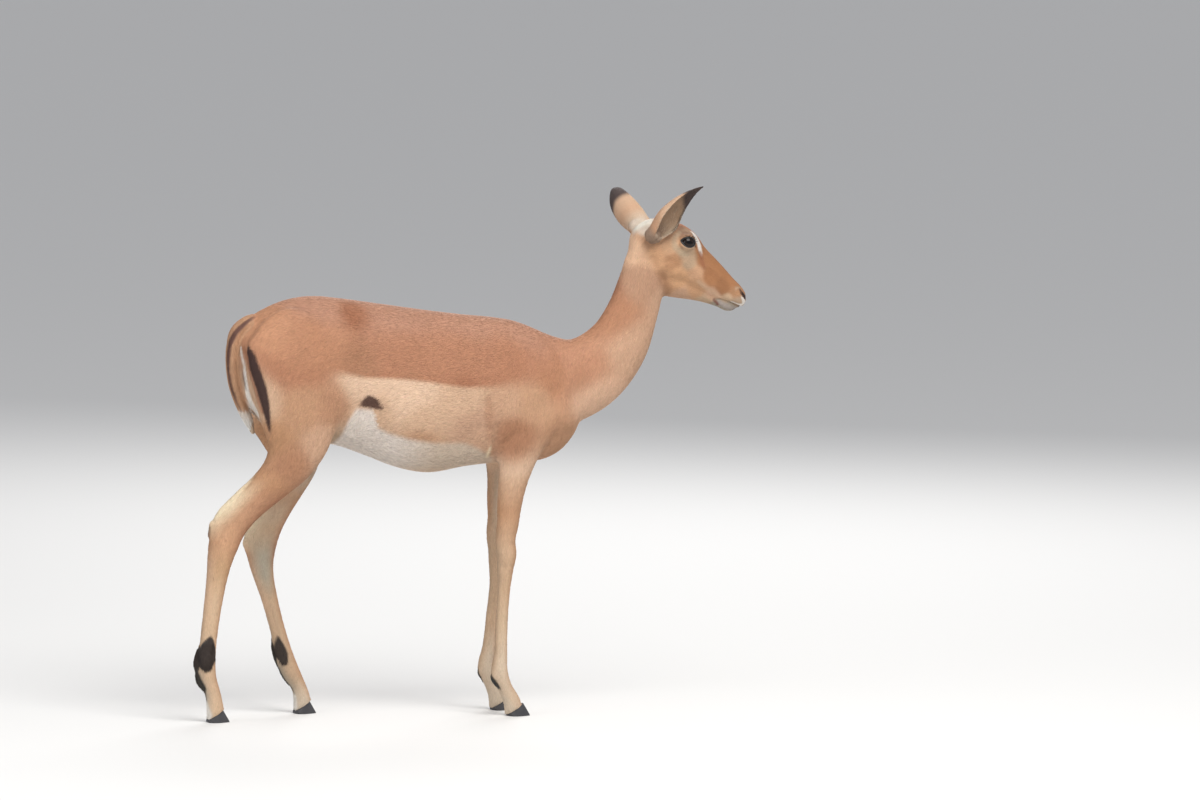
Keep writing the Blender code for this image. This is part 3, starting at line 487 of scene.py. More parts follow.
def relief_height(points):
    """How far the muscles and bones raise each point of the fused body."""
    height = np.zeros(len(points))
    folded = points * np.array([1.0, 0.0, 1.0]) + np.abs(points) * np.array([0.0, 1.0, 0.0])
    for centre, radii, turn, raised in RELIEF:
        c, s = math.cos(math.radians(turn)), math.sin(math.radians(turn))
        offset = folded - np.array(centre)
        x, y, z = offset.T
        turned = np.stack([x * c - z * s, y, x * s + z * c], 1)
        height += raised * swelling(turned, radii)
    on_head = head_axes(points)
    for centre, radii, raised in HEAD_RELIEF:
        height += raised * swelling(on_head - np.array(centre), radii)
    return height


def blend_weight(points):
    """Where the fused body is smoothed: most where limbs meet the trunk, little on thin legs and the face."""
    x, z = points[:, 0], points[:, 2]
    weight = np.interp(z, (0.36, 0.5, 0.6), (0.03, 0.25, 1.0))
    weight *= np.interp(x, (0.19, 0.27), (1.0, 0.22))
    return weight * np.interp(head_axes(points)[:, 0], (-0.04, 0.06), (1.0, 0.35))


# ---------------------------------------------------------------- places on the body


def smooth(start, end, x):
    """A smooth step from 0 at start to 1 at end: 3t2 - 2t3 of the share between them."""
    t = np.clip((x - start) / (end - start), 0, 1)
    return t * t * (3 - 2 * t)


def unit(v):
    """Each vector over its length."""
    return v / np.maximum(np.linalg.norm(v, axis=-1, keepdims=True), 1e-9)


def along_path(points, path):
    """Distance from each point to a path, the path's further values nearest to it, and its share along."""
    path = np.array(path, float)
    best = np.full(len(points), 9.0)
    extra = np.zeros((len(points), path.shape[1] - 3))
    share = np.zeros(len(points))
    for k, (a, b) in enumerate(zip(path[:-1], path[1:])):
        step = b[:3] - a[:3]
        t = np.clip(((points - a[:3]) @ step) / (step @ step), 0, 1)
        gap = np.linalg.norm(points - a[:3] - t[:, None] * step, axis=1)
        near = gap < best
        best[near] = gap[near]
        extra[near] = a[3:] + t[near][:, None] * (b[3:] - a[3:])
        share[near] = (k + t[near]) / (len(path) - 1)
    return best, extra, share


def standing(points):
    """Points folded onto one side, at the right side's stance: x, distance from the middle, height."""
    x, y, z = points.T
    q = np.stack([x, np.abs(y), z], 1)
    left = smooth(0.0, 0.03, y)
    back = np.array(HINDLEG_BACK)[::-1]
    ahead = np.array(HINDLEG_FORWARD)[::-1]
    height = z + np.interp(z, ahead[:, 2], back[:, 2]) - np.clip(z, ahead[0, 2], ahead[-1, 2])
    moved = x - np.interp(z, ahead[:, 2], ahead[:, 0]) + np.interp(height, back[:, 2], back[:, 0])
    hind = left * smooth(-0.2, -0.34, x)
    q[:, 0] += hind * (moved - x)
    q[:, 2] += hind * (height - z)
    q[:, 0] -= left * smooth(-0.12, -0.02, x) * foreleg_ahead(z)
    return q


def on_leg(q):
    """How far ahead of and outside its leg's middle line each place lies, as shares of the leg's reach."""
    hind = q[:, 0] < -0.2
    ahead = np.zeros(len(q))
    outside = np.zeros(len(q))
    for rows, chosen in ((FORELEG, ~hind), (HINDLEG_BACK, hind)):
        table = np.array(rows)[::-1]
        z = q[chosen, 2]
        middle, across, front, rear, half = (np.interp(z, table[:, 2], table[:, k]) for k in (0, 1, 3, 4, 5))
        gap = q[chosen, 0] - middle
        ahead[chosen] = gap / np.where(gap > 0, front, rear)
        outside[chosen] = (q[chosen, 1] - across) / half
    return hind, ahead, outside


def head_share(points):
    """0 on the neck and 1 on the head, across the plane behind the jaw."""
    return smooth(-0.012, 0.012, (points - np.array(HEAD_PLACE)) @ np.array(HEAD_FACING))


def ear_axes(side):
    """An ear's root, length, and the directions to its tip, out of its opening, and across both."""
    root, tip, opens = (np.array(v, float) for v in EARS[side])
    reach = np.linalg.norm(tip - root)
    along = (tip - root) / reach
    facing = opens - along * (opens @ along)
    facing /= np.linalg.norm(facing)
    return root, reach, along, facing, np.cross(along, facing)


def ear_place(points, side):
    """Share along an ear, share across it from edge to edge, and distance outwards from its wall's middle."""
    root, reach, along, facing, across = ear_axes(side)
    shares, radii, angles = (np.array(column, float) for column in zip(*EAR_ARCS[side]))
    offset = points - root
    u = offset @ along / reach
    inwards = offset @ facing + EAR_BOW * 4 * np.clip(u, 0, 1) * (1 - np.clip(u, 0, 1))
    radius = np.interp(u, shares, radii)
    turn = np.arctan2(offset @ across, radius - inwards)
    wall = np.hypot(offset @ across, radius - inwards) - radius
    return u, turn / np.radians(np.interp(u, shares, angles)), wall


def ear_of(points):
    """Which ear each point is on, 0 where none, and its place there."""
    which = np.zeros(len(points), int)
    place = np.zeros((len(points), 3))
    for side in (RIGHT, LEFT):
        near = np.abs(points - (np.array(EARS[side][0]) + np.array(EARS[side][1])) / 2).max(axis=1) < 0.11
        index = np.where(near)[0]
        u, v, wall = ear_place(points[index], side)
        on = (u > 0.0) & (u < 1.06) & (np.abs(v) < 1.25) & (np.abs(wall) < 0.0045)
        which[index[on]] = side
        place[index[on]] = np.stack([u, v, wall], 1)[on]
    return which, place


# The rounded base of each ear: half its width, length and depth, and its middle from the ear's root.
EAR_ROOTS = {RIGHT: (0.0205, 0.019, 0.019), LEFT: (0.02, 0.018, 0.016)}
EAR_LOBES = {RIGHT: (0.005, -0.009, -0.004), LEFT: (-0.003, 0.006, 0.001)}

# ---------------------------------------------------------------- fine forms

# Ridges and grooves on the body, at the right side's stance: x, y, z, half width, and the height.
LINES = (
    (((0.075, 0.034, 0.85, 0.014), (0.127, 0.04, 0.809, 0.017), (0.149, 0.047, 0.778, 0.018),
      (0.165, 0.056, 0.737, 0.02), (0.181, 0.058, 0.695, 0.021), (0.187, 0.052, 0.64, 0.018)), -0.0026),
    (((0.066, 0.04, 0.85, 0.014), (0.108, 0.05, 0.812, 0.018), (0.13, 0.058, 0.778, 0.02),
      (0.144, 0.066, 0.73, 0.02)), 0.0018),
    (((0.06, 0.07, 0.8, 0.014), (0.105, 0.08, 0.72, 0.018), (0.128, 0.082, 0.66, 0.018)), 0.0012),
    (((0.34, 0.04, 0.88, 0.014), (0.318, 0.043, 0.824, 0.018), (0.296, 0.044, 0.761, 0.02),
      (0.25, 0.046, 0.695, 0.018)), -0.0012),
    (((-0.525, 0.074, 0.532, 0.008), (-0.553, 0.08, 0.503, 0.012), (-0.577, 0.083, 0.47, 0.012),
      (-0.598, 0.082, 0.438, 0.011), (-0.613, 0.078, 0.416, 0.007)), -0.0026),
    (((-0.53, 0.058, 0.528, 0.009), (-0.577, 0.05, 0.47, 0.012), (-0.608, 0.05, 0.426, 0.008)), -0.0018),
    (((-0.31, 0.097, 0.676, 0.012), (-0.328, 0.088, 0.639, 0.015), (-0.338, 0.074, 0.612, 0.015),
      (-0.346, 0.05, 0.586, 0.012)), 0.003),
    (((-0.292, 0.097, 0.672, 0.014), (-0.308, 0.088, 0.63, 0.016), (-0.316, 0.066, 0.598, 0.014)), -0.0026),
    (((-0.003, 0.055, 0.54, 0.01), (-0.006, 0.092, 0.59, 0.013), (0.0, 0.102, 0.645, 0.014)), -0.004),
    (((0.006, 0.083, 0.574, 0.01), (0.035, 0.097, 0.604, 0.014), (0.07, 0.098, 0.622, 0.014)), -0.002),
    (((-0.534, 0.046, 0.823, 0.014), (-0.516, 0.08, 0.811, 0.02), (-0.49, 0.098, 0.798, 0.018)), -0.0014),
    (((-0.326, 0.036, 0.88, 0.014), (-0.309, 0.05, 0.864, 0.018), (-0.298, 0.066, 0.84, 0.016)), -0.002),
    (((-0.303, 0.056, 0.856, 0.018), (-0.297, 0.082, 0.797, 0.026), (-0.296, 0.098, 0.736, 0.024)), -0.0018),
    (((-0.35, 0.112, 0.652, 0.018), (-0.376, 0.112, 0.612, 0.02)), 0.0024),
    (((-0.47, 0.108, 0.615, 0.016), (-0.486, 0.104, 0.56, 0.018), (-0.502, 0.098, 0.52, 0.014)), -0.0016),
    (((-0.618, 0.083, 0.396, 0.008), (-0.598, 0.086, 0.376, 0.009)), 0.0014),
    (((-0.618, 0.08, 0.37, 0.006), (-0.6, 0.085, 0.396, 0.008), (-0.586, 0.086, 0.424, 0.006)), -0.001),
    (((-0.612, 0.062, 0.43, 0.013), (-0.628, 0.062, 0.41, 0.016), (-0.632, 0.062, 0.388, 0.013)), 0.0055),
    (((-0.62, 0.076, 0.186, 0.012), (-0.626, 0.077, 0.16, 0.02), (-0.63, 0.077, 0.136, 0.02),
      (-0.632, 0.076, 0.118, 0.014)), 0.005),
    (((0.05, 0.058, 0.36, 0.01), (0.05, 0.055, 0.33, 0.01)), 0.0012),
    (((0.018, 0.078, 0.358, 0.009), (0.022, 0.076, 0.332, 0.008)), 0.0012),
    (((0.05, 0.056, 0.32, 0.008), (0.018, 0.074, 0.318, 0.008)), -0.001),
)

# The same on the head: a, b, distance from the middle, half width, and the height.
HEAD_LINES = (
    (((0.237, 0.0, 0.019, 0.0035), (0.243, -0.005, 0.021, 0.0045), (0.25, -0.01, 0.02, 0.005),
      (0.258, -0.014, 0.016, 0.0045), (0.265, -0.016, 0.009, 0.003)), -0.008),
    (((0.23, -0.004, 0.024, 0.005), (0.238, 0.004, 0.018, 0.005), (0.25, 0.002, 0.014, 0.005),
      (0.262, -0.006, 0.008, 0.005)), 0.0022),
    (((0.236, -0.016, 0.025, 0.005), (0.248, -0.021, 0.022, 0.005), (0.262, -0.024, 0.013, 0.005)), 0.0014),
    (((0.192, -0.054, 0.015, 0.004), (0.204, -0.05, 0.018, 0.004), (0.213, -0.045, 0.02, 0.004),
      (0.224, -0.043, 0.02, 0.004), (0.234, -0.041, 0.02, 0.004), (0.246, -0.039, 0.018, 0.004),
      (0.256, -0.037, 0.014, 0.004), (0.263, -0.035, 0.007, 0.004), (0.266, -0.034, -0.004, 0.004),
      (0.266, -0.034, -0.012, 0.004)), -0.004),
    (((0.212, -0.033, 0.024, 0.01), (0.24, -0.029, 0.022, 0.01), (0.26, -0.028, 0.013, 0.009)), 0.0016),
    (((0.21, -0.055, 0.014, 0.009), (0.232, -0.052, 0.015, 0.01), (0.252, -0.046, 0.008, 0.008)), 0.0014),
    (((0.27, -0.01, 0.0, 0.0028), (0.268, -0.034, 0.0, 0.0028)), -0.0016),
    (((0.085, -0.008, 0.047, 0.014), (0.125, -0.02, 0.04, 0.015), (0.16, -0.028, 0.032, 0.013)), 0.0013),
    (((0.125, 0.0, 0.037, 0.013), (0.165, -0.008, 0.031, 0.014), (0.206, -0.018, 0.026, 0.011)), -0.0013),
    (((0.094, 0.028, 0.045, 0.004), (0.106, 0.022, 0.041, 0.0055), (0.118, 0.014, 0.038, 0.0055),
      (0.132, 0.004, 0.035, 0.004)), -0.0018),
    (((0.022, -0.03, 0.044, 0.013), (0.04, -0.062, 0.042, 0.016), (0.066, -0.094, 0.03, 0.014)), -0.0022),
    (((0.048, 0.042, 0.04, 0.012), (0.026, 0.026, 0.045, 0.015)), -0.0022),
    (((0.055, 0.05, 0.034, 0.01), (0.08, 0.05, 0.031, 0.011), (0.1, 0.04, 0.034, 0.009)), 0.0014),
    (((0.055, -0.036, 0.047, 0.022), (0.09, -0.06, 0.04, 0.022)), 0.0015),
    (((0.115, -0.043, 0.036, 0.013), (0.165, -0.045, 0.028, 0.013), (0.2, -0.046, 0.023, 0.01)), 0.0008),
    (((0.105, -0.076, 0.027, 0.013), (0.15, -0.066, 0.021, 0.013), (0.195, -0.058, 0.016, 0.01)), -0.0009),
)


def line_height(places, lines):
    """Sum of ridges and grooves: each is its height times (1 - (distance over half width)^2)^2.

    They fade at their ends.
    """
    height = np.zeros(len(places))
    for path, raised in lines:
        rows = np.array(path)
        low, high = rows[:, :3].min(axis=0) - rows[:, 3].max(), rows[:, :3].max(axis=0) + rows[:, 3].max()
        index = np.where(((places > low) & (places < high)).all(axis=1))[0]
        if len(index):
            gap, half, share = along_path(places[index], rows)
            ends = smooth(0, 0.22, share) * smooth(1, 0.78, share)
            height[index] += raised * ends * np.clip(1 - (gap / half[:, 0]) ** 2, 0, 1) ** 2
    return height


def leg_height(q):
    """Tendon grooves along both faces of the cannons, and the cleft between the toes."""
    hind, ahead, outside = on_leg(q)
    low, high = np.where(hind, 0.115, 0.105), np.where(hind, 0.36, 0.31)
    cannon = smooth(0, 0.03, q[:, 2] - low) * smooth(0, 0.03, high - q[:, 2]) * (q[:, 2] < 0.45)
    groove = np.exp(-(((ahead + 0.28) / 0.22) ** 2)) * smooth(0.45, 0.8, np.abs(outside))
    cleft = np.exp(-((outside / 0.16) ** 2)) * smooth(0.2, 0.7, np.abs(ahead)) * smooth(0.058, 0.035, q[:, 2])
    return -0.0015 * cannon * groove - 0.0032 * cleft


# An eye's opening, as angles about the middle of the eyeball: half its length, its top and its bottom.
EYE_LONG = math.radians(68)
EYE_TOP = math.radians(41)
EYE_BOTTOM = math.radians(36)
FISSURE_PITCH = math.radians(13)
LID_REACH = 0.036  # round an eye's middle, where the skin is drawn into lids
LID_FINE = 0.028  # and where it keeps all its triangles


def eye_axes(side):
    """Middle of an eyeball and the directions along its opening, up across it, and out of it."""
    out = unit(np.array((0.02, side * 1.0, 0.06)))
    fore = np.array((math.cos(FISSURE_PITCH), 0.0, -math.sin(FISSURE_PITCH)))
    fore = unit(fore - out * (fore @ out))
    up = np.cross(out, fore) * -side
    middle = np.array(head_point(EYE_AT[0], EYE_AT[1], EYE_AT[2] * side))
    return middle, fore, up, out


def eye_edge(lon):
    """How far up and down the opening reaches, as angles, at an angle along it."""
    t = np.clip(np.abs(lon / EYE_LONG), 0, 1)
    lean = 1 + 0.12 * lon / EYE_LONG
    return EYE_TOP * lean * (1 - t**2.3) ** 0.8, EYE_BOTTOM * (1 - t**2.0) ** 0.9


def eye_angles(offset, side):
    """Each offset's length, how far out of the eye it points, and its angles along and up the eye."""
    _, fore, up, out = eye_axes(side)
    reach, outward = np.linalg.norm(offset, axis=1), offset @ out
    lon = np.arctan2(offset @ fore, np.maximum(outward, 1e-5))
    lat = np.arcsin(np.clip(offset @ up / np.maximum(reach, 1e-6), -1, 1))
    return reach, outward, lon, lat


def lids(points):
    """Draws the skin over the eyeballs as lids, and behind them inside the opening."""
    points = points.copy()
    for side in (RIGHT, LEFT):
        middle = eye_axes(side)[0]
        index = np.where(np.linalg.norm(points - middle, axis=1) < LID_REACH)[0]
        offset = points[index] - middle
        reach, outward, lon, lat = eye_angles(offset, side)
        top, bottom = eye_edge(lon)
        inside = np.minimum(top - lat, lat + bottom) * EYE_RADIUS
        beyond = -(np.abs(lon) - EYE_LONG) * EYE_RADIUS - np.abs(lat) * 0.008
        inside = np.where(np.abs(lon) < EYE_LONG, inside, beyond)
        inside = np.where(outward > 0, inside, -0.02)
        away = np.clip(-inside, 0, 1)
        fold = 0.0012 * np.exp(-(((away - 0.005) / 0.0011) ** 2)) * smooth(-0.1, 0.2, lat)
        lid = EYE_RADIUS + 0.0008 + 0.0016 * smooth(0.0, 0.0035, away) - fold
        over = (reach + lid + np.sqrt((reach - lid) ** 2 + 0.003**2)) / 2
        aim = over + (lid - over) * smooth(0.0105, 0.002, away)
        aim = aim + (EYE_RADIUS - 0.0045 - aim) * smooth(0.0, 0.0012, inside)
        aim = reach + (aim - reach) * smooth(-0.45, 0.0, outward / reach)
        points[index] = middle + offset * (aim / reach)[:, None]
    return points


def coronet_slope(heel, toe):
    """How steeply the top of a hoof rises from its heel, reaching its full height short of the toe."""
    return (CORONET_FRONT - CORONET_HEEL) / (toe - heel - CORONET_SHORT)


def coronet_lift(points):
    """Height of the slanted top of the hoof under or over each point, or well below where there is none."""
    height = np.full(len(points), -1.0)
    for heel, toe, _, side in FEET.values():
        near = (points[:, 2] < 0.06) & (np.abs(points[:, 0] - (heel + toe) / 2) < 0.07)
        near &= points[:, 1] * side > 0
        slope = coronet_slope(heel, toe)
        height[near] = CORONET_HEEL + slope * (points[near, 0] - heel)
    return height


def coat_depth(points, q, ear):
    """How far the skin lies inside the tips of the coat: 2.4 mm on the body, 0.4 mm on the muzzle."""
    depth = np.interp(q[:, 2], (0.1, 0.4, 0.56), (0.0011, 0.0015, 0.0024))
    a = head_axes(points)[:, 0]
    on_head = head_share(points)
    depth = depth + on_head * (np.interp(a, (0.0, 0.12, 0.22), (0.0018, 0.001, 0.0004)) - depth)
    return np.where(ear != 0, 0.0006, depth)


def ear_grid(side, rows=53, columns=33):
    """The two walls of an ear: an arc whose radius and opening change along a bowed spine.

    Each wall stands half a thickness out from it.
    """
    root, reach, along, facing, across = ear_axes(side)
    u = 1 - 1.1 * (1 - np.linspace(0.0, 1.0, rows)) ** 1.25
    v = np.linspace(-1.0, 1.0, columns)
    shares, radii, angles = (np.array(column, float) for column in zip(*EAR_ARCS[side]))
    knots = np.stack([radii, angles], 1)
    radius, angle = smooth_curve(shares, knots, u).T
    turn = np.radians(angle)[:, None] * v
    spine = root + along * (u * reach)[:, None] - facing * (EAR_BOW * 4 * u * (1 - u))[:, None]
    half = EAR_THICKNESS / 2 * np.interp(u, (0.0, 0.7, 1.0), (1.0, 0.8, 0.6))[:, None]
    half = half * (1 - 0.25 * np.abs(v) ** 6)

    def wall(swell):
        sideways = (radius[:, None] + swell) * np.sin(turn)
        inwards = radius[:, None] - (radius[:, None] + swell) * np.cos(turn)
        return spine[:, None] + across * sideways[..., None] + facing * inwards[..., None]

    return wall(half), wall(-half)


def ear_mass(side, home):
    """An ear as a closed shell, for fusing with the head."""
    outer, inner = ear_grid(side)
    rows, columns = outer.shape[:2]
    points = np.concatenate([outer.reshape(-1, 3), inner.reshape(-1, 3)])
    grid = np.arange(rows * columns).reshape(rows, columns)
    quads = np.stack([grid[:-1, :-1], grid[:-1, 1:], grid[1:, 1:], grid[1:, :-1]], -1).reshape(-1, 4)
    rim = np.concatenate([grid[0, :-1], grid[:-1, -1], grid[-1, :0:-1], grid[:0:-1, 0]])
    after = np.roll(rim, -1)
    lower = rows * columns
    walls = np.stack([after, rim, lower + rim, lower + after], 1)
    faces = np.concatenate([quads, lower + quads[:, ::-1], walls])
    made = add_object("ear_mass", mesh_of("ear", points, faces.tolist()), home)
    return faced_out(made)


def ear_root(side, home):
    """The rounded base of an ear: a ball drawn out along it, closing the cup's lower end."""
    root, _, along, facing, across = ear_axes(side)
    wide, long, thick = EAR_ROOTS[side]
    rise, turn = np.linspace(-1, 1, 17)[1:-1], np.linspace(0, 2 * math.pi, 24, endpoint=False)
    radius = np.sqrt(1 - rise**2)[:, None]
    ring = across * (wide * radius * np.cos(turn))[..., None]
    ring = ring - facing * (thick * radius * np.sin(turn))[..., None]
    centre = root + np.array(EAR_LOBES[side])
    return closed_tube("ear_root", centre + along * (long * rise)[:, None, None] + ring, home)


def modified(item, kind, home, **settings):
    """The item with one modifier of this kind applied."""
    added = item.modifiers.new("Step", kind)
    for name, value in settings.items():
        setattr(added, name, value)
    return applied(item, home)


def move_points(item, points):
    item.data.vertices.foreach_set("co", points.astype(np.float32).ravel())
    item.data.update()


def skin_piece(home):
    """One skin over the animal: fused masses, softened, fused again with ears and tail, then fine forms."""
    body = joined(flesh_masses(home), "flesh", home)
    body = modified(body, "REMESH", home, mode="VOXEL", voxel_size=FUSE_VOXEL)
    group = body.vertex_groups.new(name="blend")
    for index, weight in enumerate(blend_weight(points_of(body.data))):
        group.add([index], float(weight), "REPLACE")
    body = modified(body, "SMOOTH", home, factor=0.6, iterations=SOFTEN_ROUNDS, vertex_group="blend")
    body.vertex_groups.clear()
    points = points_of(body.data)
    move_points(body, points + relief_height(points)[:, None] * normals_of(body.data))
    body = modified(body, "SUBSURF", home, levels=1, render_levels=1)
    tail = loft("tail_mass", TAIL, home, sides=32, step=0.006)
    ears = [mass(side, home) for side in (RIGHT, LEFT) for mass in (ear_mass, ear_root)]
    skin = joined([body, tail, *ears], "skin", home)
    skin = modified(skin, "REMESH", home, mode="VOXEL", voxel_size=SKIN_VOXEL)
    skin = modified(skin, "SMOOTH", home, factor=0.5, iterations=4)
    points, normals = points_of(skin.data), normals_of(skin.data)
    q, (ear, _) = standing(points), ear_of(points)
    on_head = head_share(points)
    height = line_height(q, LINES) * (1 - on_head) + leg_height(q) * (q[:, 2] < 0.5)
    height = height + line_height(head_axes(points), HEAD_LINES) * on_head * (ear == 0)
    points = points + (height - coat_depth(points, q, ear))[:, None] * normals
    points = lids(points)
    points[:, 2] = np.maximum(points[:, 2], coronet_lift(points))
    move_points(skin, points)
    a = head_axes(points)[:, 0]
    plain = np.where(on_head > 0.5, np.interp(a, (0.05, 0.18, 0.22), (0.9, 0.9, 0.6)), 1.0)
    plain = np.where(ear != 0, 0.85, plain)
    for side in (RIGHT, LEFT):
        plain[np.linalg.norm(points - eye_axes(side)[0], axis=1) < LID_FINE] = 0.0
    group = skin.vertex_groups.new(name="plain")
    for value in np.unique(np.round(plain, 1)):
        group.add(np.where(np.round(plain, 1) == value)[0].tolist(), float(value), "REPLACE")
    ratio = SKIN_TRIANGLES / sum(len(p.vertices) - 2 for p in skin.data.polygons)
    skin = modified(skin, "DECIMATE", home, ratio=ratio, vertex_group="plain", vertex_group_factor=1e-6)
    keep_largest(skin)
    skin.vertex_groups.clear()
    skin.data.shade_smooth()
    return skin


# ---------------------------------------------------------------- colours of the coat

# The coat's tones, as linear red, green and blue.
CHESTNUT = (0.315, 0.13, 0.068)
RUST = (0.395, 0.182, 0.102)
RUMP = (0.425, 0.205, 0.114)
BACK = (0.425, 0.22, 0.142)
ROSE = (0.455, 0.225, 0.132)
BARK = (0.355, 0.172, 0.095)
GINGER = (0.385, 0.178, 0.082)
HAZEL = (0.44, 0.235, 0.125)
TAN = (0.47, 0.262, 0.152)
BUFF = (0.555, 0.34, 0.222)
FAWN = (0.56, 0.365, 0.24)
SAND = (0.67, 0.465, 0.325)
DUN = (0.5, 0.345, 0.225)
PALE = (0.58, 0.47, 0.355)
CREAM = (0.74, 0.61, 0.42)
WHITE = (0.78, 0.735, 0.67)
GREY = (0.33, 0.28, 0.215)
STRAW = (0.635, 0.445, 0.29)
SLATE = (0.39, 0.34, 0.26)
UMBER = (0.072, 0.034, 0.025)
SOOT = (0.028, 0.021, 0.02)

# Soft spots of colour at the right side's stance: x, distance from the middle, height, reach, colour.
SADDLE = (
    (-0.52, 0.06, 0.83, 0.07, (0.49, 0.245, 0.138)), (-0.42, 0.09, 0.8, 0.07, RUMP),
    # The chestnut spot at (-0.31, 0.06, 0.87) darkens the hollow before the hip bone: painted shade.
    (-0.31, 0.06, 0.87, 0.03, CHESTNUT), (-0.31, 0.11, 0.76, 0.04, BARK), (-0.2, 0.12, 0.78, 0.07, RUST),
    (-0.2, 0.12, 0.735, 0.03, BARK), (-0.08, 0.12, 0.78, 0.07, RUST), (-0.08, 0.12, 0.725, 0.03, CHESTNUT),
    (0.02, 0.11, 0.77, 0.06, RUST), (-0.2, 0.02, 0.88, 0.07, BACK), (-0.05, 0.02, 0.87, 0.07, BACK),
    (0.07, 0.03, 0.85, 0.05, BACK), (-0.4, 0.03, 0.89, 0.06, BACK),
)
SIDES = (
    (-0.3, 0.11, 0.715, 0.04, SAND), (-0.2, 0.12, 0.695, 0.05, SAND), (-0.08, 0.12, 0.685, 0.05, FAWN),
    (0.02, 0.11, 0.68, 0.04, (0.5, 0.3, 0.19)), (0.08, 0.09, 0.68, 0.04, (0.5, 0.29, 0.175)),
    (-0.28, 0.1, 0.655, 0.04, FAWN), (-0.17, 0.11, 0.64, 0.04, FAWN),
    (-0.06, 0.11, 0.63, 0.04, (0.48, 0.29, 0.192)), (-0.17, 0.09, 0.605, 0.03, TAN),
    # The bark-brown spot at the elbow, (0.03, 0.09, 0.6), is partly the coat's own brown and partly painted
    # shade.
    (-0.04, 0.1, 0.595, 0.04, BUFF), (0.03, 0.09, 0.6, 0.04, BARK), (0.06, 0.03, 0.53, 0.05, SAND),
    (0.2, 0.05, 0.74, 0.05, ROSE), (0.23, 0.02, 0.68, 0.05, (0.63, 0.4, 0.27)),
    (0.15, 0.03, 0.56, 0.06, (0.46, 0.25, 0.145)), (0.12, 0.08, 0.74, 0.05, RUMP),
    (0.08, 0.03, 0.84, 0.05, RUST), (0.18, 0.01, 0.87, 0.04, RUST), (0.26, 0.04, 0.85, 0.05, RUMP),
    (0.25, 0.01, 0.92, 0.03, CHESTNUT), (0.32, 0.02, 0.99, 0.03, (0.77, 0.5, 0.325)),
    (0.33, 0.045, 0.93, 0.04, (0.44, 0.255, 0.162)), (0.345, 0.04, 0.975, 0.03, (0.64, 0.395, 0.25)),
    (0.39, 0.02, 0.88, 0.03, BUFF), (0.31, 0.02, 0.78, 0.05, BUFF), (-0.52, 0.08, 0.68, 0.04, FAWN),
    (-0.5, 0.09, 0.6, 0.04, HAZEL), (-0.44, 0.11, 0.67, 0.04, TAN),
    (-0.37, 0.11, 0.67, 0.04, (0.44, 0.235, 0.138)), (-0.39, 0.1, 0.59, 0.04, BUFF),
    (-0.45, 0.09, 0.76, 0.05, RUST), (-0.46, 0.09, 0.55, 0.04, (0.4, 0.2, 0.112)),
    (-0.5, 0.08, 0.49, 0.04, HAZEL), (-0.44, 0.02, 0.56, 0.05, PALE),
    (-0.36, 0.02, 0.6, 0.05, (0.42, 0.3, 0.205)),
)

# The saddle's lower edge: x, height, and how softly it ends.
SADDLE_EDGE = (
    (-0.6, 0.83, 0.03), (-0.547, 0.797, 0.03), (-0.516, 0.784, 0.03), (-0.476, 0.76, 0.03),
    (-0.433, 0.748, 0.026), (-0.387, 0.743, 0.02), (-0.341, 0.738, 0.012), (-0.296, 0.73, 0.007),
    (-0.253, 0.729, 0.006), (-0.209, 0.726, 0.006), (-0.144, 0.718, 0.006), (-0.078, 0.708, 0.006),
    (-0.011, 0.708, 0.01), (0.05, 0.715, 0.024), (0.12, 0.74, 0.045), (0.2, 0.78, 0.06),
)
# The white belly: its upper edge as x and height, and its rear edge as height and x.
BELLY_EDGE = (
    (-0.345, 0.668), (-0.28, 0.662), (-0.272, 0.641), (-0.266, 0.623), (-0.242, 0.611), (-0.2, 0.599),
    (-0.145, 0.591), (-0.078, 0.59), (-0.04, 0.576), (-0.011, 0.557), (0.04, 0.54), (0.1, 0.515),
)
BELLY_REAR = (
    (0.56, -0.35), (0.593, -0.342), (0.612, -0.336), (0.639, -0.328), (0.666, -0.312), (0.7, -0.3),
)

# Down the legs: height, then the colour outside, inside, in front and behind.
HIND_TONES = (
    (0.03, STRAW, PALE, FAWN, PALE), (0.085, (0.6, 0.42, 0.28), DUN, TAN, GREY),
    (0.18, STRAW, DUN, TAN, DUN), (0.256, STRAW, DUN, TAN, FAWN),
    (0.327, (0.56, 0.35, 0.2), SLATE, HAZEL, FAWN), (0.383, (0.57, 0.325, 0.19), SLATE, RUST, TAN),
    (0.45, (0.5, 0.275, 0.162), DUN, RUST, CREAM), (0.52, (0.42, 0.205, 0.115), PALE, RUST, CREAM),
)
FORE_TONES = (
    (0.03, (0.6, 0.45, 0.32), PALE, FAWN, PALE), (0.113, (0.62, 0.49, 0.36), PALE, FAWN, DUN),
    (0.185, (0.6, 0.445, 0.3), DUN, FAWN, DUN), (0.269, (0.55, 0.37, 0.235), DUN, TAN, DUN),
    (0.354, (0.58, 0.385, 0.25), DUN, HAZEL, DUN), (0.439, (0.5, 0.28, 0.16), PALE, TAN, HAZEL),
    (0.523, (0.6, 0.4, 0.27), PALE, TAN, FAWN),
)

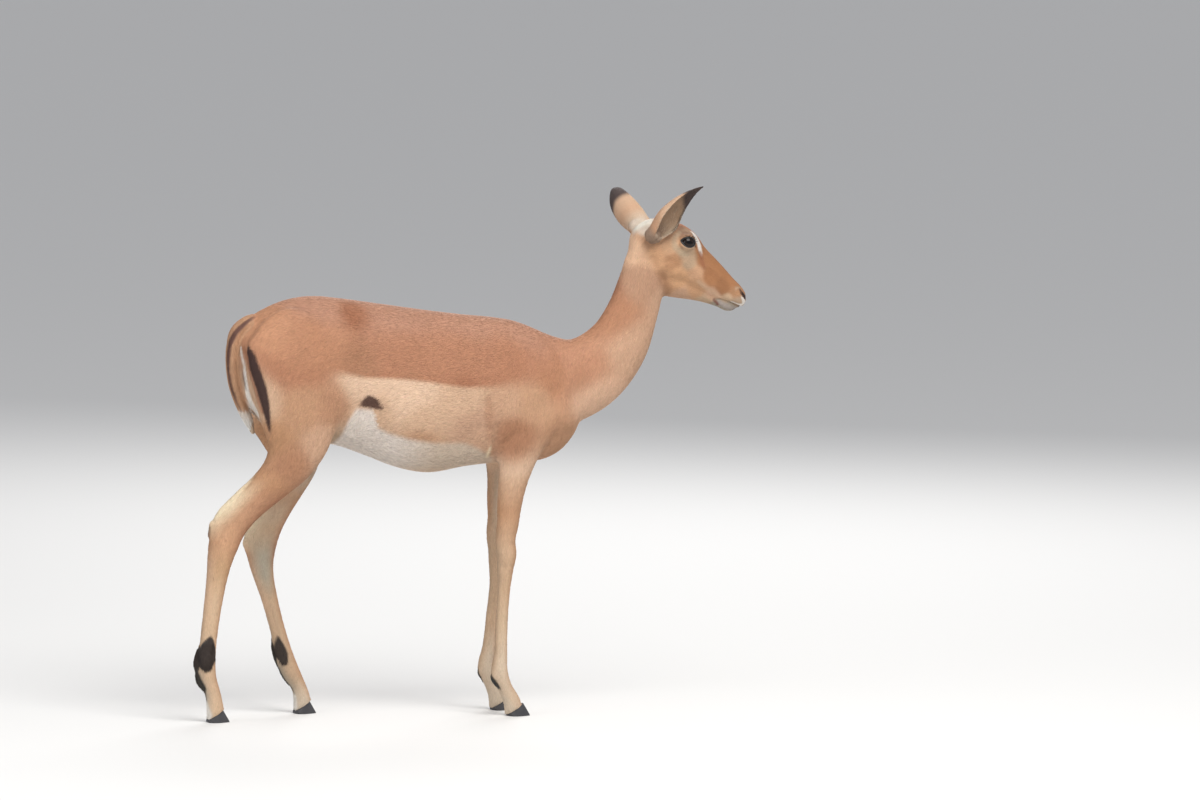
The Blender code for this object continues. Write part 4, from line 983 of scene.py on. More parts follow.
# Soft spots on the head: a, b, distance from the middle, reach, colour.
HEAD_SPOTS = (
    (-0.02, 0.022, 0.0, 0.016, (0.72, 0.665, 0.57)), (-0.003, -0.006, 0.062, 0.014, (0.25, 0.17, 0.12)),
    (-0.012, 0.004, 0.03, 0.011, (0.59, 0.49, 0.395)), (-0.012, -0.03, 0.038, 0.016, TAN),
    (0.02, 0.04, 0.0, 0.016, TAN), (0.05, 0.055, 0.0, 0.018, RUST), (0.095, 0.052, 0.0, 0.016, RUST),
    # The dark spot at a 0.062 over the brow is painted shade above the eye.
    (0.062, 0.044, 0.031, 0.01, (0.31, 0.185, 0.12)), (0.03, 0.022, 0.044, 0.014, (0.51, 0.3, 0.18)),
    (0.135, 0.034, 0.004, 0.016, GINGER), (0.175, 0.018, 0.012, 0.016, GINGER),
    (0.215, 0.001, 0.01, 0.014, GINGER), (0.115, 0.026, 0.032, 0.01, GINGER),
    (0.13, 0.008, 0.035, 0.011, GINGER), (0.165, -0.012, 0.03, 0.014, GINGER),
    (0.2, -0.018, 0.026, 0.013, (0.32, 0.148, 0.068)), (0.232, -0.012, 0.023, 0.01, (0.385, 0.205, 0.108)),
    (0.05, -0.005, 0.047, 0.014, (0.57, 0.34, 0.2)), (0.068, -0.022, 0.047, 0.016, HAZEL),
    (0.03, -0.04, 0.044, 0.018, (0.59, 0.335, 0.188)), (0.082, -0.001, 0.048, 0.012, DUN),
    (0.104, -0.012, 0.044, 0.013, DUN), (0.128, -0.024, 0.038, 0.013, (0.59, 0.345, 0.205)),
    (0.1, -0.05, 0.036, 0.018, (0.6, 0.34, 0.186)), (0.15, -0.05, 0.028, 0.016, (0.53, 0.3, 0.166)),
    # The dark spot at a 0.075 under the jaw is painted shade.
    (0.075, -0.085, 0.026, 0.018, (0.39, 0.205, 0.112)), (0.13, -0.078, 0.01, 0.016, BUFF),
    (0.185, -0.064, 0.006, 0.014, DUN), (0.19, -0.046, 0.024, 0.011, BUFF),
    (0.222, -0.036, 0.022, 0.008, DUN), (0.245, -0.028, 0.019, 0.007, (0.4, 0.28, 0.19)),
    (0.235, -0.05, 0.01, 0.009, GREY), (0.21, -0.058, 0.012, 0.009, GREY),
)

# Marks laid over: which places they are read in, colour, softness, strength, and a path with half widths.
MARKS = (
    # The near-black patch in the fold of the flank is painted shadow in the fold.
    ("stance", UMBER, 0.0035, 0.96, ((-0.319, 0.097, 0.66, 0.002), (-0.305, 0.099, 0.672, 0.008),
     (-0.289, 0.1, 0.68, 0.013), (-0.276, 0.1, 0.675, 0.011), (-0.262, 0.1, 0.666, 0.003))),
    ("stance", CHESTNUT, 0.007, 0.7, ((-0.551, 0.037, 0.792, 0.004), (-0.549, 0.064, 0.766, 0.008),
     (-0.54, 0.078, 0.727, 0.01), (-0.531, 0.086, 0.692, 0.009), (-0.522, 0.092, 0.661, 0.005))),
    ("stance", WHITE, 0.004, 0.9, ((-0.556, 0.024, 0.795, 0.003), (-0.551, 0.04, 0.753, 0.0045),
     (-0.545, 0.04, 0.711, 0.0055), (-0.534, 0.03, 0.676, 0.009), (-0.517, 0.02, 0.64, 0.013))),
    ("stance", (0.04, 0.02, 0.018), 0.0045, 0.97, (
     (-0.556, 0.052, 0.802, 0.005), (-0.546, 0.078, 0.776, 0.01),
     (-0.536, 0.088, 0.738, 0.012), (-0.526, 0.094, 0.708, 0.0115), (-0.518, 0.098, 0.675, 0.009),
     (-0.512, 0.099, 0.645, 0.0055), (-0.507, 0.097, 0.62, 0.002))),
    # This dark line between the tail and the white strip is partly dark hair and partly painted shadow where
    # the tail lies against the buttock.
    ("stance", UMBER, 0.003, 0.88, ((-0.556, 0.03, 0.776, 0.002), (-0.555, 0.033, 0.747, 0.0045),
     (-0.55, 0.035, 0.722, 0.0045), (-0.543, 0.036, 0.699, 0.002))),
    ("stance", PALE, 0.01, 0.85, ((-0.522, 0.018, 0.63, 0.014), (-0.509, 0.03, 0.585, 0.014))),
    ("stance", CREAM, 0.006, 0.8, ((-0.515, 0.06, 0.552, 0.006), (-0.548, 0.068, 0.52, 0.012),
     (-0.58, 0.07, 0.487, 0.013), (-0.606, 0.069, 0.452, 0.009), (-0.622, 0.062, 0.425, 0.002))),
    ("stance", CREAM, 0.005, 0.85, ((-0.012, 0.06, 0.545, 0.004), (-0.014, 0.074, 0.562, 0.005),
     (-0.012, 0.084, 0.578, 0.002))),
    ("stance", BARK, 0.012, 0.45, ((-0.026, 0.1, 0.683, 0.004), (-0.022, 0.1, 0.64, 0.008),
     (-0.018, 0.095, 0.598, 0.004))),
    # This soft chestnut band down the hollow before the hip bone is painted shade.
    ("stance", CHESTNUT, 0.014, 0.35, ((-0.33, 0.03, 0.88, 0.004), (-0.31, 0.05, 0.866, 0.009),
     (-0.3, 0.066, 0.842, 0.004))),
    ("stance", SOOT, 0.004, 0.97, ((-0.621, 0.078, 0.186, 0.004), (-0.625, 0.078, 0.165, 0.017),
     (-0.628, 0.078, 0.144, 0.021), (-0.631, 0.078, 0.127, 0.014))),
    ("stance", SOOT, 0.004, 0.95, ((-0.647, 0.064, 0.168, 0.003), (-0.65, 0.064, 0.148, 0.011),
     (-0.648, 0.066, 0.132, 0.013), (-0.645, 0.066, 0.118, 0.007))),
    ("stance", SOOT, 0.004, 0.95, ((-0.629, 0.052, 0.17, 0.003), (-0.633, 0.05, 0.15, 0.011),
     (-0.634, 0.05, 0.134, 0.013), (-0.633, 0.05, 0.118, 0.007))),
    ("stance", SOOT, 0.004, 0.92, ((-0.648, 0.065, 0.112, 0.004), (-0.648, 0.067, 0.09, 0.009),
     (-0.64, 0.067, 0.074, 0.01), (-0.63, 0.06, 0.058, 0.004), (-0.624, 0.056, 0.043, 0.001))),
    ("stance", SOOT, 0.003, 0.85, ((0.005, 0.052, 0.088, 0.003), (0.008, 0.056, 0.073, 0.0095),
     (0.017, 0.06, 0.063, 0.006), (0.029, 0.064, 0.044, 0.0014), (0.033, 0.06, 0.019, 0.0008))),
    ("stance", SOOT, 0.005, 0.85, ((-0.632, 0.068, 0.412, 0.006), (-0.634, 0.068, 0.396, 0.007))),
    ("stance", UMBER, 0.004, 0.92, ((-0.639, 0.058, 0.388, 0.006), (-0.641, 0.058, 0.367, 0.012))),
    ("stance", WHITE, 0.006, 0.85, ((-0.627, 0.058, 0.036, 0.008), (-0.624, 0.062, 0.016, 0.012))),
    ("stance", PALE, 0.008, 0.8, ((0.036, 0.06, 0.034, 0.007), (0.045, 0.064, 0.014, 0.012))),
    ("head", (0.47, 0.36, 0.245), 0.005, 0.7, ((0.052, 0.036, 0.038, 0.003), (0.047, 0.024, 0.044, 0.005),
     (0.048, 0.011, 0.047, 0.005), (0.058, 0.001, 0.049, 0.006), (0.074, -0.003, 0.049, 0.006),
     (0.09, 0.0, 0.048, 0.004))),
    ("head", DUN, 0.005, 0.45, ((0.056, 0.044, 0.035, 0.003), (0.07, 0.05, 0.028, 0.006),
     (0.084, 0.05, 0.026, 0.004))),
    ("head", WHITE, 0.003, 0.95, ((0.081, 0.051, 0.022, 0.003), (0.088, 0.048, 0.023, 0.0078),
     (0.096, 0.043, 0.027, 0.0086), (0.105, 0.035, 0.032, 0.0072), (0.113, 0.026, 0.035, 0.0052),
     (0.122, 0.016, 0.035, 0.0016))),
    ("head", CHESTNUT, 0.004, 0.8, ((0.116, 0.021, 0.036, 0.002), (0.121, 0.015, 0.036, 0.0045),
     (0.13, 0.005, 0.036, 0.0045), (0.142, -0.004, 0.034, 0.002))),
    ("head", SOOT, 0.0022, 0.95, ((0.094, 0.027, 0.044, 0.0024), (0.104, 0.024, 0.041, 0.0022),
     (0.112, 0.02, 0.038, 0.0008))),
    ("head", FAWN, 0.005, 0.8, ((0.145, -0.036, 0.032, 0.003), (0.167, -0.039, 0.028, 0.004),
     (0.183, -0.04, 0.025, 0.0045), (0.2, -0.041, 0.023, 0.004), (0.212, -0.041, 0.022, 0.002))),
    ("head", WHITE, 0.003, 0.92, ((0.25, -0.019, 0.021, 0.002), (0.257, -0.021, 0.018, 0.004),
     (0.263, -0.025, 0.014, 0.005), (0.26, -0.032, 0.015, 0.0035), (0.25, -0.035, 0.018, 0.002),
     (0.236, -0.037, 0.02, 0.0015))),
    ("head", PALE, 0.004, 0.85, ((0.262, -0.03, 0.006, 0.005), (0.264, -0.027, 0.0, 0.006))),
    ("head", (0.34, 0.29, 0.26), 0.005, 0.85, ((0.212, -0.051, 0.017, 0.004), (0.232, -0.051, 0.014, 0.006),
     (0.25, -0.046, 0.009, 0.005), (0.256, -0.043, 0.0, 0.005))),
    ("head", (0.18, 0.065, 0.045), 0.003, 0.9, ((0.2, -0.052, 0.017, 0.002), (0.207, -0.054, 0.016, 0.003),
     (0.214, -0.057, 0.013, 0.002))),
    ("head", (0.06, 0.035, 0.032), 0.0022, 0.95, (
     (0.2, -0.051, 0.018, 0.0012), (0.213, -0.045, 0.02, 0.0018),
     (0.231, -0.041, 0.02, 0.0018), (0.246, -0.039, 0.018, 0.0018), (0.257, -0.037, 0.013, 0.0018),
     (0.265, -0.035, 0.0, 0.0018))),
    ("head", PALE, 0.0026, 0.85, ((0.23, -0.01, 0.023, 0.001), (0.234, -0.002, 0.02, 0.0025),
     (0.242, 0.003, 0.015, 0.0025), (0.252, 0.001, 0.012, 0.001))),
    ("head", (0.1, 0.065, 0.065), 0.004, 0.92, ((0.262, -0.01, 0.01, 0.003), (0.268, -0.014, 0.004, 0.006),
     (0.268, -0.016, 0.0, 0.006))),
    ("head", (0.03, 0.018, 0.022), 0.0022, 0.98, (
     (0.24, -0.003, 0.019, 0.0025), (0.246, -0.008, 0.02, 0.0042),
     (0.254, -0.012, 0.017, 0.0042), (0.262, -0.015, 0.012, 0.003))),
)

# The dark line down the tail: x, y, height, half width, in true places.
TAIL_LINE = (
    (-0.51, -0.014, 0.864, 0.003), (-0.537, -0.02, 0.846, 0.0035), (-0.562, -0.018, 0.822, 0.005),
    (-0.576, -0.012, 0.796, 0.007), (-0.58, -0.009, 0.756, 0.007), (-0.574, -0.009, 0.714, 0.0065),
    (-0.562, -0.012, 0.678, 0.006), (-0.547, -0.013, 0.648, 0.004),
)


def spread(places, spots):
    """Weighted mean of the spots' values: a spot weighs (1 + (distance over reach)^2)^-4."""
    total = np.zeros((len(places), 1))
    mean = np.zeros((len(places), len(spots[0][4])))
    for x, y, z, reach, value in spots:
        weight = (1 + ((places - (x, y, z)) ** 2).sum(axis=1) / reach**2)[:, None] ** -4.0
        total += weight
        mean += weight * np.array(value)
    return mean / total


def mixed(colours, other, share):
    """The colours, moved towards the other by the share."""
    return colours + (np.asarray(other) - colours) * share[:, None]


def band(places, path, soft):
    """1 within a path's half width, falling smoothly to 0 over the softness beyond it."""
    rows = np.array(path)
    low = rows[:, :3].min(axis=0) - rows[:, 3].max() - soft
    high = rows[:, :3].max(axis=0) + rows[:, 3].max() + soft
    share = np.zeros(len(places))
    index = np.where(((places > low) & (places < high)).all(axis=1))[0]
    if len(index):
        gap, half, _ = along_path(places[index], rows)
        share[index] = 1 - smooth(-0.5, 1.0, (gap - half[:, 0]) / soft)
    return share


def leg_colour(q):
    """The legs' colours by height and by the side of the leg that a place lies on."""
    hind, ahead, outside = on_leg(q)
    weights = np.stack([np.clip(way, 0, 2) for way in (outside, -outside, ahead, -ahead)], 1)
    weights = (weights + 0.02) ** 2
    weights /= weights.sum(axis=1, keepdims=True)
    found = np.zeros((len(q), 3))
    for rows, chosen in ((HIND_TONES, hind), (FORE_TONES, ~hind)):
        heights = [row[0] for row in rows]
        tones = np.array([row[1:] for row in rows])
        for k in range(4):
            tone = np.stack([np.interp(q[chosen, 2], heights, tones[:, k, c]) for c in range(3)], 1)
            found[chosen] += weights[chosen, k : k + 1] * tone
    return found


# The white belly's hair with painted shade: darkened and greyed, more at the front than at the rear.
BELLY_FRONT_SHADED, BELLY_REAR_SHADED = (0.56, 0.45, 0.35), (0.7, 0.62, 0.55)
TAIL_LINE_TONE = (0.11, 0.052, 0.042)
EAR_BLACK, EAR_INSIDE, EAR_DEEP = (0.055, 0.04, 0.04), (0.36, 0.235, 0.15), (0.26, 0.175, 0.12)


def ear_colour(place, side):
    """Brown inside and darker at its root; fawn behind, tan at the root; one black edge and a black tip."""
    u, v, wall = place.T
    inner = wall < 0
    behind = mixed(np.tile(FAWN, (len(u), 1)), TAN, smooth(0.5, 0.0, u))
    if side == LEFT:
        behind = mixed(behind, PALE, smooth(0.32, 0.08, u) * 0.75)
    inside = mixed(np.tile(EAR_INSIDE, (len(u), 1)), EAR_DEEP, smooth(0.3, 0.12, u))
    inside = mixed(inside, FAWN, smooth(0.3, 0.8, -v) * 0.8)
    inside = mixed(inside, PALE, smooth(0.6, 0.9, np.abs(v)) * smooth(0.4, 0.2, u) * 0.6)
    colours = np.where(inner[:, None], inside, behind)
    edge = smooth(0.78, 0.95, v) * smooth(0.16, 0.3, u) * 0.9
    tip = smooth(0.62, 0.76, u + 0.05 * np.abs(v) + (0.1 + 0.06 * v if side == LEFT else 0.1 * v))
    colours = mixed(colours, SOOT, np.clip(edge, 0, 1))
    colours = mixed(colours, EAR_BLACK, tip * np.where(inner, 0.93, 0.96))
    return colours


def tail_share(points):
    """True on the tail: within 4 mm of its reach, behind and below the place where it leaves the rump."""
    gap, sizes, _ = along_path(points, np.array(TAIL))
    return (gap < sizes.max(axis=1) + 0.004) & (points[:, 0] < -0.522) & (points[:, 2] < 0.862)


def tail_middle():
    """Heights down the tail and the x of its middle there, rising."""
    rows = np.array(sorted(TAIL, key=lambda row: row[2]))
    return rows[:, 2], rows[:, 0]


def coat_colour(points):
    """The coat's colour at places in the shape's own frame, with painted shade in some hollows and folds and
    on the belly.
    """
    q = standing(points)
    head_at = head_axes(points)
    x, _, z = q.T
    edge = np.array(SADDLE_EDGE)
    above = (z - np.interp(x, edge[:, 0], edge[:, 1])) / np.interp(x, edge[:, 0], edge[:, 2])
    saddle = smooth(-1, 1, above) * smooth(0.22, 0.07, x)
    colours = mixed(spread(q, SIDES), spread(q, SADDLE), saddle)
    belly, rear = np.array(BELLY_EDGE), np.array(BELLY_REAR)
    under = smooth(-0.008, 0.008, np.interp(x, belly[:, 0], belly[:, 1]) - z)
    behind = smooth(-0.008, 0.006, x - np.interp(z, rear[:, 0], rear[:, 1]))
    under *= behind * smooth(0.012, -0.012, x) * (z > 0.5)
    # Painted shade on the white belly, darker towards the front.
    pale = np.tile(BELLY_FRONT_SHADED, (len(x), 1))
    pale = mixed(pale, BELLY_REAR_SHADED, smooth(-0.12, -0.24, x))
    colours = mixed(colours, pale, under * 0.95)
    leg = np.where(x < -0.2, smooth(0.53, 0.46, z), smooth(0.545, 0.5, z))
    colours = mixed(colours, leg_colour(q), leg)
    on_head = head_share(points)
    colours = mixed(colours, spread(head_at, HEAD_SPOTS), on_head)
    tail = tail_share(points)
    tail_tone = mixed(np.tile(TAN, (len(x), 1)), WHITE, smooth(0.668, 0.63, z))
    inner_side = smooth(0.006, 0.016, points[:, 0] - np.interp(z, *tail_middle()))
    tail_tone = mixed(tail_tone, WHITE, inner_side * smooth(0.72, 0.66, z))
    colours = np.where(tail[:, None], tail_tone, colours)
    places = {"stance": q, "head": head_at}
    for where, tone, soft, strength, path in MARKS:
        share = band(places[where], path, soft) * strength
        share = share * (on_head if where == "head" else ~tail)
        colours = mixed(colours, tone, share)
    colours = mixed(colours, TAIL_LINE_TONE, band(points, TAIL_LINE, 0.004) * 0.95)
    ear, place = ear_of(points)
    for side in (RIGHT, LEFT):
        chosen = ear == side
        share = smooth(0.02, 0.14, place[chosen, 0])
        colours[chosen] = mixed(colours[chosen], ear_colour(place[chosen], side), share)
    return np.clip(colours, 0.01, 0.95)


# ---------------------------------------------------------------- the coat

# Where the hair points, at the right side's stance: x, distance from the middle, height, reach, direction.
LIE = (
    (-0.2, 0.02, 0.88, 0.08, (-1.0, 0.0, -0.05)), (-0.45, 0.03, 0.88, 0.06, (-1.0, 0.0, -0.15)),
    (-0.05, 0.12, 0.75, 0.08, (-0.95, 0.0, -0.35)), (-0.2, 0.12, 0.72, 0.08, (-0.95, 0.0, -0.3)),
    (-0.1, 0.1, 0.62, 0.07, (-1.0, 0.0, -0.15)), (-0.3, 0.1, 0.68, 0.05, (-0.75, 0.0, -0.55)),
    (-0.2, 0.03, 0.58, 0.06, (-1.0, 0.0, 0.05)), (-0.42, 0.11, 0.78, 0.07, (-0.75, 0.0, -0.65)),
    (-0.4, 0.11, 0.65, 0.06, (-0.35, 0.0, -0.95)), (-0.52, 0.09, 0.72, 0.05, (-0.25, 0.0, -1.0)),
    (-0.48, 0.09, 0.57, 0.05, (-0.45, 0.0, -0.9)), (-0.56, 0.08, 0.47, 0.05, (-0.6, 0.0, -0.8)),
    (0.1, 0.09, 0.76, 0.06, (-0.55, 0.0, -0.85)), (0.06, 0.09, 0.65, 0.05, (-0.25, 0.0, -1.0)),
    (0.05, 0.08, 0.55, 0.04, (0.0, 0.0, -1.0)), (0.08, 0.03, 0.85, 0.06, (-1.0, 0.0, -0.1)),
    (0.2, 0.03, 0.86, 0.05, (-0.85, 0.0, -0.5)), (0.27, 0.04, 0.85, 0.06, (-0.5, 0.0, -0.85)),
    (0.34, 0.04, 0.92, 0.05, (-0.25, 0.0, -0.95)), (0.22, 0.04, 0.72, 0.06, (-0.3, 0.0, -0.95)),
    (0.15, 0.03, 0.56, 0.06, (-0.7, 0.0, -0.6)), (0.02, 0.03, 0.55, 0.06, (-1.0, 0.0, -0.1)),
)
HEAD_LIE = (
    (0.24, -0.02, 0.02, 0.03, (-1.0, 0.0, 0.0)), (0.17, 0.02, 0.01, 0.03, (-1.0, 0.1, 0.15)),
    (0.17, -0.03, 0.03, 0.03, (-1.0, -0.2, 0.1)), (0.1, 0.05, 0.0, 0.03, (-1.0, 0.1, 0.25)),
    (0.04, 0.05, 0.0, 0.03, (-1.0, -0.3, 0.15)), (0.11, -0.02, 0.04, 0.03, (-1.0, -0.35, 0.15)),
    (0.05, -0.03, 0.045, 0.03, (-0.9, -0.75, 0.0)), (0.08, -0.08, 0.03, 0.03, (-1.0, -0.1, 0.0)),
    (0.03, 0.02, 0.045, 0.02, (-1.0, -0.35, 0.0)), (-0.01, 0.02, 0.0, 0.03, (-0.7, -1.0, 0.0)),
    (0.0, -0.04, 0.04, 0.03, (-0.6, -1.0, 0.0)),
)


def lie_of(points, normals, ear, place):
    """The way the hair lies: the spots' directions, down the legs, and along ears and tail to their tips."""
    q = standing(points)
    side = np.where(points[:, 1] < 0, -1.0, 1.0)
    way = spread(q, LIE)
    for rows, chosen, top in ((HINDLEG_BACK, q[:, 0] < -0.2, 0.5), (FORELEG, q[:, 0] >= -0.2, 0.54)):
        table = np.array(rows)[::-1]
        slope = np.gradient(table[:, 0], table[:, 2])
        down = np.stack([-np.interp(q[:, 2], table[:, 2], slope), np.zeros(len(q)), -np.ones(len(q))], 1)
        share = smooth(top, top - 0.06, q[:, 2]) * chosen
        way = way + (unit(down) - way) * share[:, None]
    local = spread(head_axes(points), HEAD_LIE)
    fore, up = np.array(HEAD_ALONG, float), np.array(HEAD_UP, float)
    head_way = local[:, :1] * fore + local[:, 1:2] * up + local[:, 2:] * np.array((0.0, 1.0, 0.0))
    way = way + (unit(head_way) - way) * head_share(points)[:, None]
    way[:, 1] *= side
    tail = tail_share(points)
    heights, ahead = tail_middle()
    slope = np.interp(points[:, 2], heights, np.gradient(ahead, heights))
    down = unit(np.stack([-np.clip(slope, -2, 2), np.zeros(len(points)), -np.ones(len(points))], 1))
    way = np.where(tail[:, None], down, way)
    for which in (RIGHT, LEFT):
        chosen = ear == which
        _, _, along, _, across = ear_axes(which)
        fanned = 0.35 * place[chosen, 1] * np.interp(place[chosen, 0], (0, 1), (1, -0.6))
        way[chosen] = along + across * fanned[:, None]
    way = way - normals * (way * normals).sum(axis=1, keepdims=True)
    return unit(way)


class Skin:
    """The finished skin's triangles, for sowing roots over it and laying points onto it."""

    def __init__(self, item, home):
        self.item, self.home = item, home
        mesh = item.data
        mesh.calc_loop_triangles()
        self.points, self.normals = points_of(mesh), normals_of(mesh)
        corners = np.empty(len(mesh.loop_triangles) * 3, np.int32)
        mesh.loop_triangles.foreach_get("vertices", corners)
        self.corners = corners.reshape(-1, 3)
        a, b, c = (self.points[self.corners[:, k]] for k in range(3))
        self.areas = np.linalg.norm(np.cross(b - a, c - a), axis=1) / 2
        self.middles = (a + b + c) / 3

    def sown(self, spacing, rng):
        """Roots about this far apart, as given for each triangle: scattered by area, one kept in a cell."""
        rate = self.areas / spacing**2 * 1.6
        count = rng.poisson(np.where(np.isfinite(rate), rate, 0))
        chosen = np.repeat(np.arange(len(self.corners)), count)
        u, v = rng.random(len(chosen)), rng.random(len(chosen))
        flip = u + v > 1
        u, v = np.where(flip, 1 - u, u), np.where(flip, 1 - v, v)
        corners = self.corners[chosen]
        weights = np.stack([1 - u - v, u, v], 1)[..., None]
        places = (self.points[corners] * weights).sum(axis=1)
        normals = unit((self.normals[corners] * weights).sum(axis=1))
        cell = np.floor(places / spacing[chosen][:, None]).astype(np.int64) * CELL_STEPS
        cell = cell.sum(axis=1) + (np.round(np.log2(spacing[chosen]) * 2).astype(np.int64) * SIZE_STEP)
        _, first = np.unique(cell, return_index=True)
        return places[first], normals[first]

    def onto(self, places):
        """The nearest places on the skin."""
        guide = add_object("guide", mesh_of("guide", places, []), self.home)
        wrap = guide.modifiers.new("Onto", "SHRINKWRAP")
        wrap.target = self.item
        wrap.wrap_method = "NEAREST_SURFACEPOINT"
        laid = applied(guide, self.home)
        found = points_of(laid.data)
        bpy.data.objects.remove(laid, do_unlink=True)
        return found


TUFT_FACES = (
    (0, 2, 3), (0, 1, 2), (1, 0, 4), (2, 1, 4), (0, 3, 4), (4, 5, 2), (4, 3, 5), (5, 3, 2),
)
# Across a tuft's patch on the unwrapping: along it and across it, for its six points.
TUFT_PATCH = ((-0.5, -0.35), (-0.5, 0.35), (0.0, 0.5), (0.0, -0.5), (0.0, 0.0), (0.5, 0.0))


def tufts(name, skin, roots, normals, ways, sizes, colours, home):
    """Tufts of hair: each a thin closed blade from two root points over a raised middle to one tip.

    Sizes holds, for each, its length, width, height of the middle and height of the tip above the skin.
    """
    long, wide, middle_up, tip_up = (sizes[:, k : k + 1] for k in range(4))
    across = np.cross(normals, ways)
    base = roots - normals * ROOT_DEPTH
    middle = skin.onto(roots + ways * long * 0.5)
    tip = skin.onto(roots + ways * long)
    laid = np.linalg.norm(tip - roots - ways * long, axis=1) < long[:, 0] * 0.45
    middle = middle + normals * middle_up
    tip = tip + normals * tip_up
    roots, normals, across, base, middle, tip, wide, colours = (
        v[laid] for v in (roots, normals, across, base, middle, tip, wide, colours)
    )
    points = np.stack([
        base - across * wide * 0.38,
        base + across * wide * 0.38,
        middle + across * wide * 0.5,
        middle - across * wide * 0.5,
        middle + normals * (0.0003 + 0.12 * wide),
        tip,
    ], 1)
    count = len(roots)
    faces = (np.arange(count)[:, None, None] * 6 + np.array(TUFT_FACES)).reshape(-1, 3)
    mesh = bpy.data.meshes.new(name)
    mesh.vertices.add(count * 6)
    mesh.vertices.foreach_set("co", points.astype(np.float32).ravel())
    mesh.loops.add(len(faces) * 3)
    mesh.loops.foreach_set("vertex_index", faces.astype(np.int32).ravel())
    mesh.polygons.add(len(faces))
    mesh.polygons.foreach_set("loop_start", np.arange(0, len(faces) * 3, 3, dtype=np.int32))
    mesh.update(calc_edges=True)
    shade = np.array((0.92, 0.92, 0.98, 0.98, 1.01, 1.06))
    paint(mesh, np.clip(colours[:, None, :] * shade[None, :, None], 0, 1).reshape(-1, 3))
    patch = unwrapped(roots)[:, None, :] * (1 - 2 * PATCH) + PATCH + PATCH * np.array(TUFT_PATCH)[None]
    unwrap = mesh.uv_layers.new(name="OFBake")
    unwrap.uv.foreach_set("vector", patch.reshape(-1, 2)[faces.ravel()].astype(np.float32).ravel())
    mesh.polygons.foreach_set("use_smooth", np.ones(len(faces), bool))
    tilt = np.array((-0.25, 0.25, 0.25, -0.25, 0, 0))[None, :, None]
    lean = unit(np.repeat(normals[:, None], 6, axis=1) + across[:, None] * tilt)
    mesh.normals_split_custom_set_from_vertices(lean.reshape(-1, 3).astype(np.float32))
    return add_object(name, mesh, home)


def unwrapped(points):
    """Places rolled out: the share along the piece's longest side, and the angle around its middle line."""
    low, high = points.min(axis=0), points.max(axis=0)
    axis = int(np.argmax(high - low))
    others = [k for k in range(3) if k != axis]
    along = (points[:, axis] - low[axis]) / max(high[axis] - low[axis], 1e-6)
    bins = np.clip((along * BINS).astype(int), 0, BINS - 1)
    held = np.bincount(bins, minlength=BINS)
    used = held > 0
    middle = np.zeros((len(points), 2))
    for column, k in enumerate(others):
        mean = np.bincount(bins, points[:, k], BINS) / np.maximum(held, 1)
        middle[:, column] = np.interp(along * BINS, np.where(used)[0] + 0.5, mean[used])
    angle = np.arctan2(points[:, others[0]] - middle[:, 0], points[:, others[1]] - middle[:, 1])
    return np.stack([np.clip(along, 0, 1), angle / (2 * math.pi) + 0.5], 1)


# ---------------------------------------------------------------- materials


class Number:
    """A number inside a material; arithmetic on it lays out Math nodes."""

    def __init__(self, look, socket):
        self.look, self.socket = look, socket

    def made(self, kind, first, second):
        found = self.look.node("ShaderNodeMath", {"operation": kind}, {0: first, 1: second}, "Value")
        return Number(self.look, found)

    def __add__(self, other):
        return self.made("ADD", self, other)

    __radd__ = __add__

    def __sub__(self, other):
        return self.made("SUBTRACT", self, other)

    def __rsub__(self, other):
        return self.made("SUBTRACT", other, self)

    def __mul__(self, other):
        return self.made("MULTIPLY", self, other)

    __rmul__ = __mul__


class Look:
    """A material and its node tree."""

    def __init__(self, name, **constants):
        self.material = bpy.data.materials.new(name)
        self.material.use_nodes = True
        self.tree = self.material.node_tree
        self.shader = self.tree.nodes["Principled BSDF"]
        for key, value in constants.items():
            self.shader.inputs[key.replace("_", " ")].default_value = value

    def node(self, kind, settings, inputs, output):
        made = self.tree.nodes.new(kind)
        for key, value in settings.items():
            setattr(made, key, value)
        for key, value in inputs.items():
            value = getattr(value, "socket", value)
            if isinstance(value, bpy.types.NodeSocket):
                self.tree.links.new(value, made.inputs[key])
            else:
                made.inputs[key].default_value = value
        return made.outputs[output]

    def number(self, socket):
        return Number(self, socket)

    def attribute(self, name, output="Color"):
        return self.node("ShaderNodeAttribute", {"attribute_name": name}, {}, output)

    def place(self):
        return self.node("ShaderNodeTexCoord", {}, {}, "Object")

    def noise(self, scale, stretch=(1, 1, 1), turn=0.0, detail=2.0, roughness=0.5):
        """Noise over the piece's own places, stretched, after a turn about the sideways axis."""
        values = {"Vector": self.place(), "Rotation": (0.0, turn, 0.0)}
        at = self.node("ShaderNodeMapping", {"vector_type": "POINT"}, values, "Vector")
        at = self.node("ShaderNodeVectorMath", {"operation": "MULTIPLY"}, {0: at, 1: stretch}, "Vector")
        values = {"Vector": at, "Scale": scale, "Detail": detail, "Roughness": roughness}
        return self.number(self.node("ShaderNodeTexNoise", {}, values, "Fac"))

    def mix(self, share, first, second, blend="MIX"):
        values = {0: share, 6: first, 7: second}
        return self.node("ShaderNodeMix", {"data_type": "RGBA", "blend_type": blend}, values, 2)

    def link(self, value, name):
        self.tree.links.new(getattr(value, "socket", value), self.shader.inputs[name])

    def bump(self, height, strength, distance):
        values = {"Height": height, "Strength": strength, "Distance": distance}
        self.link(self.node("ShaderNodeBump", {}, values, "Normal"), "Normal")


def grey(look, value):
    return look.node("ShaderNodeCombineColor", {}, {0: value, 1: value, 2: value}, "Color")


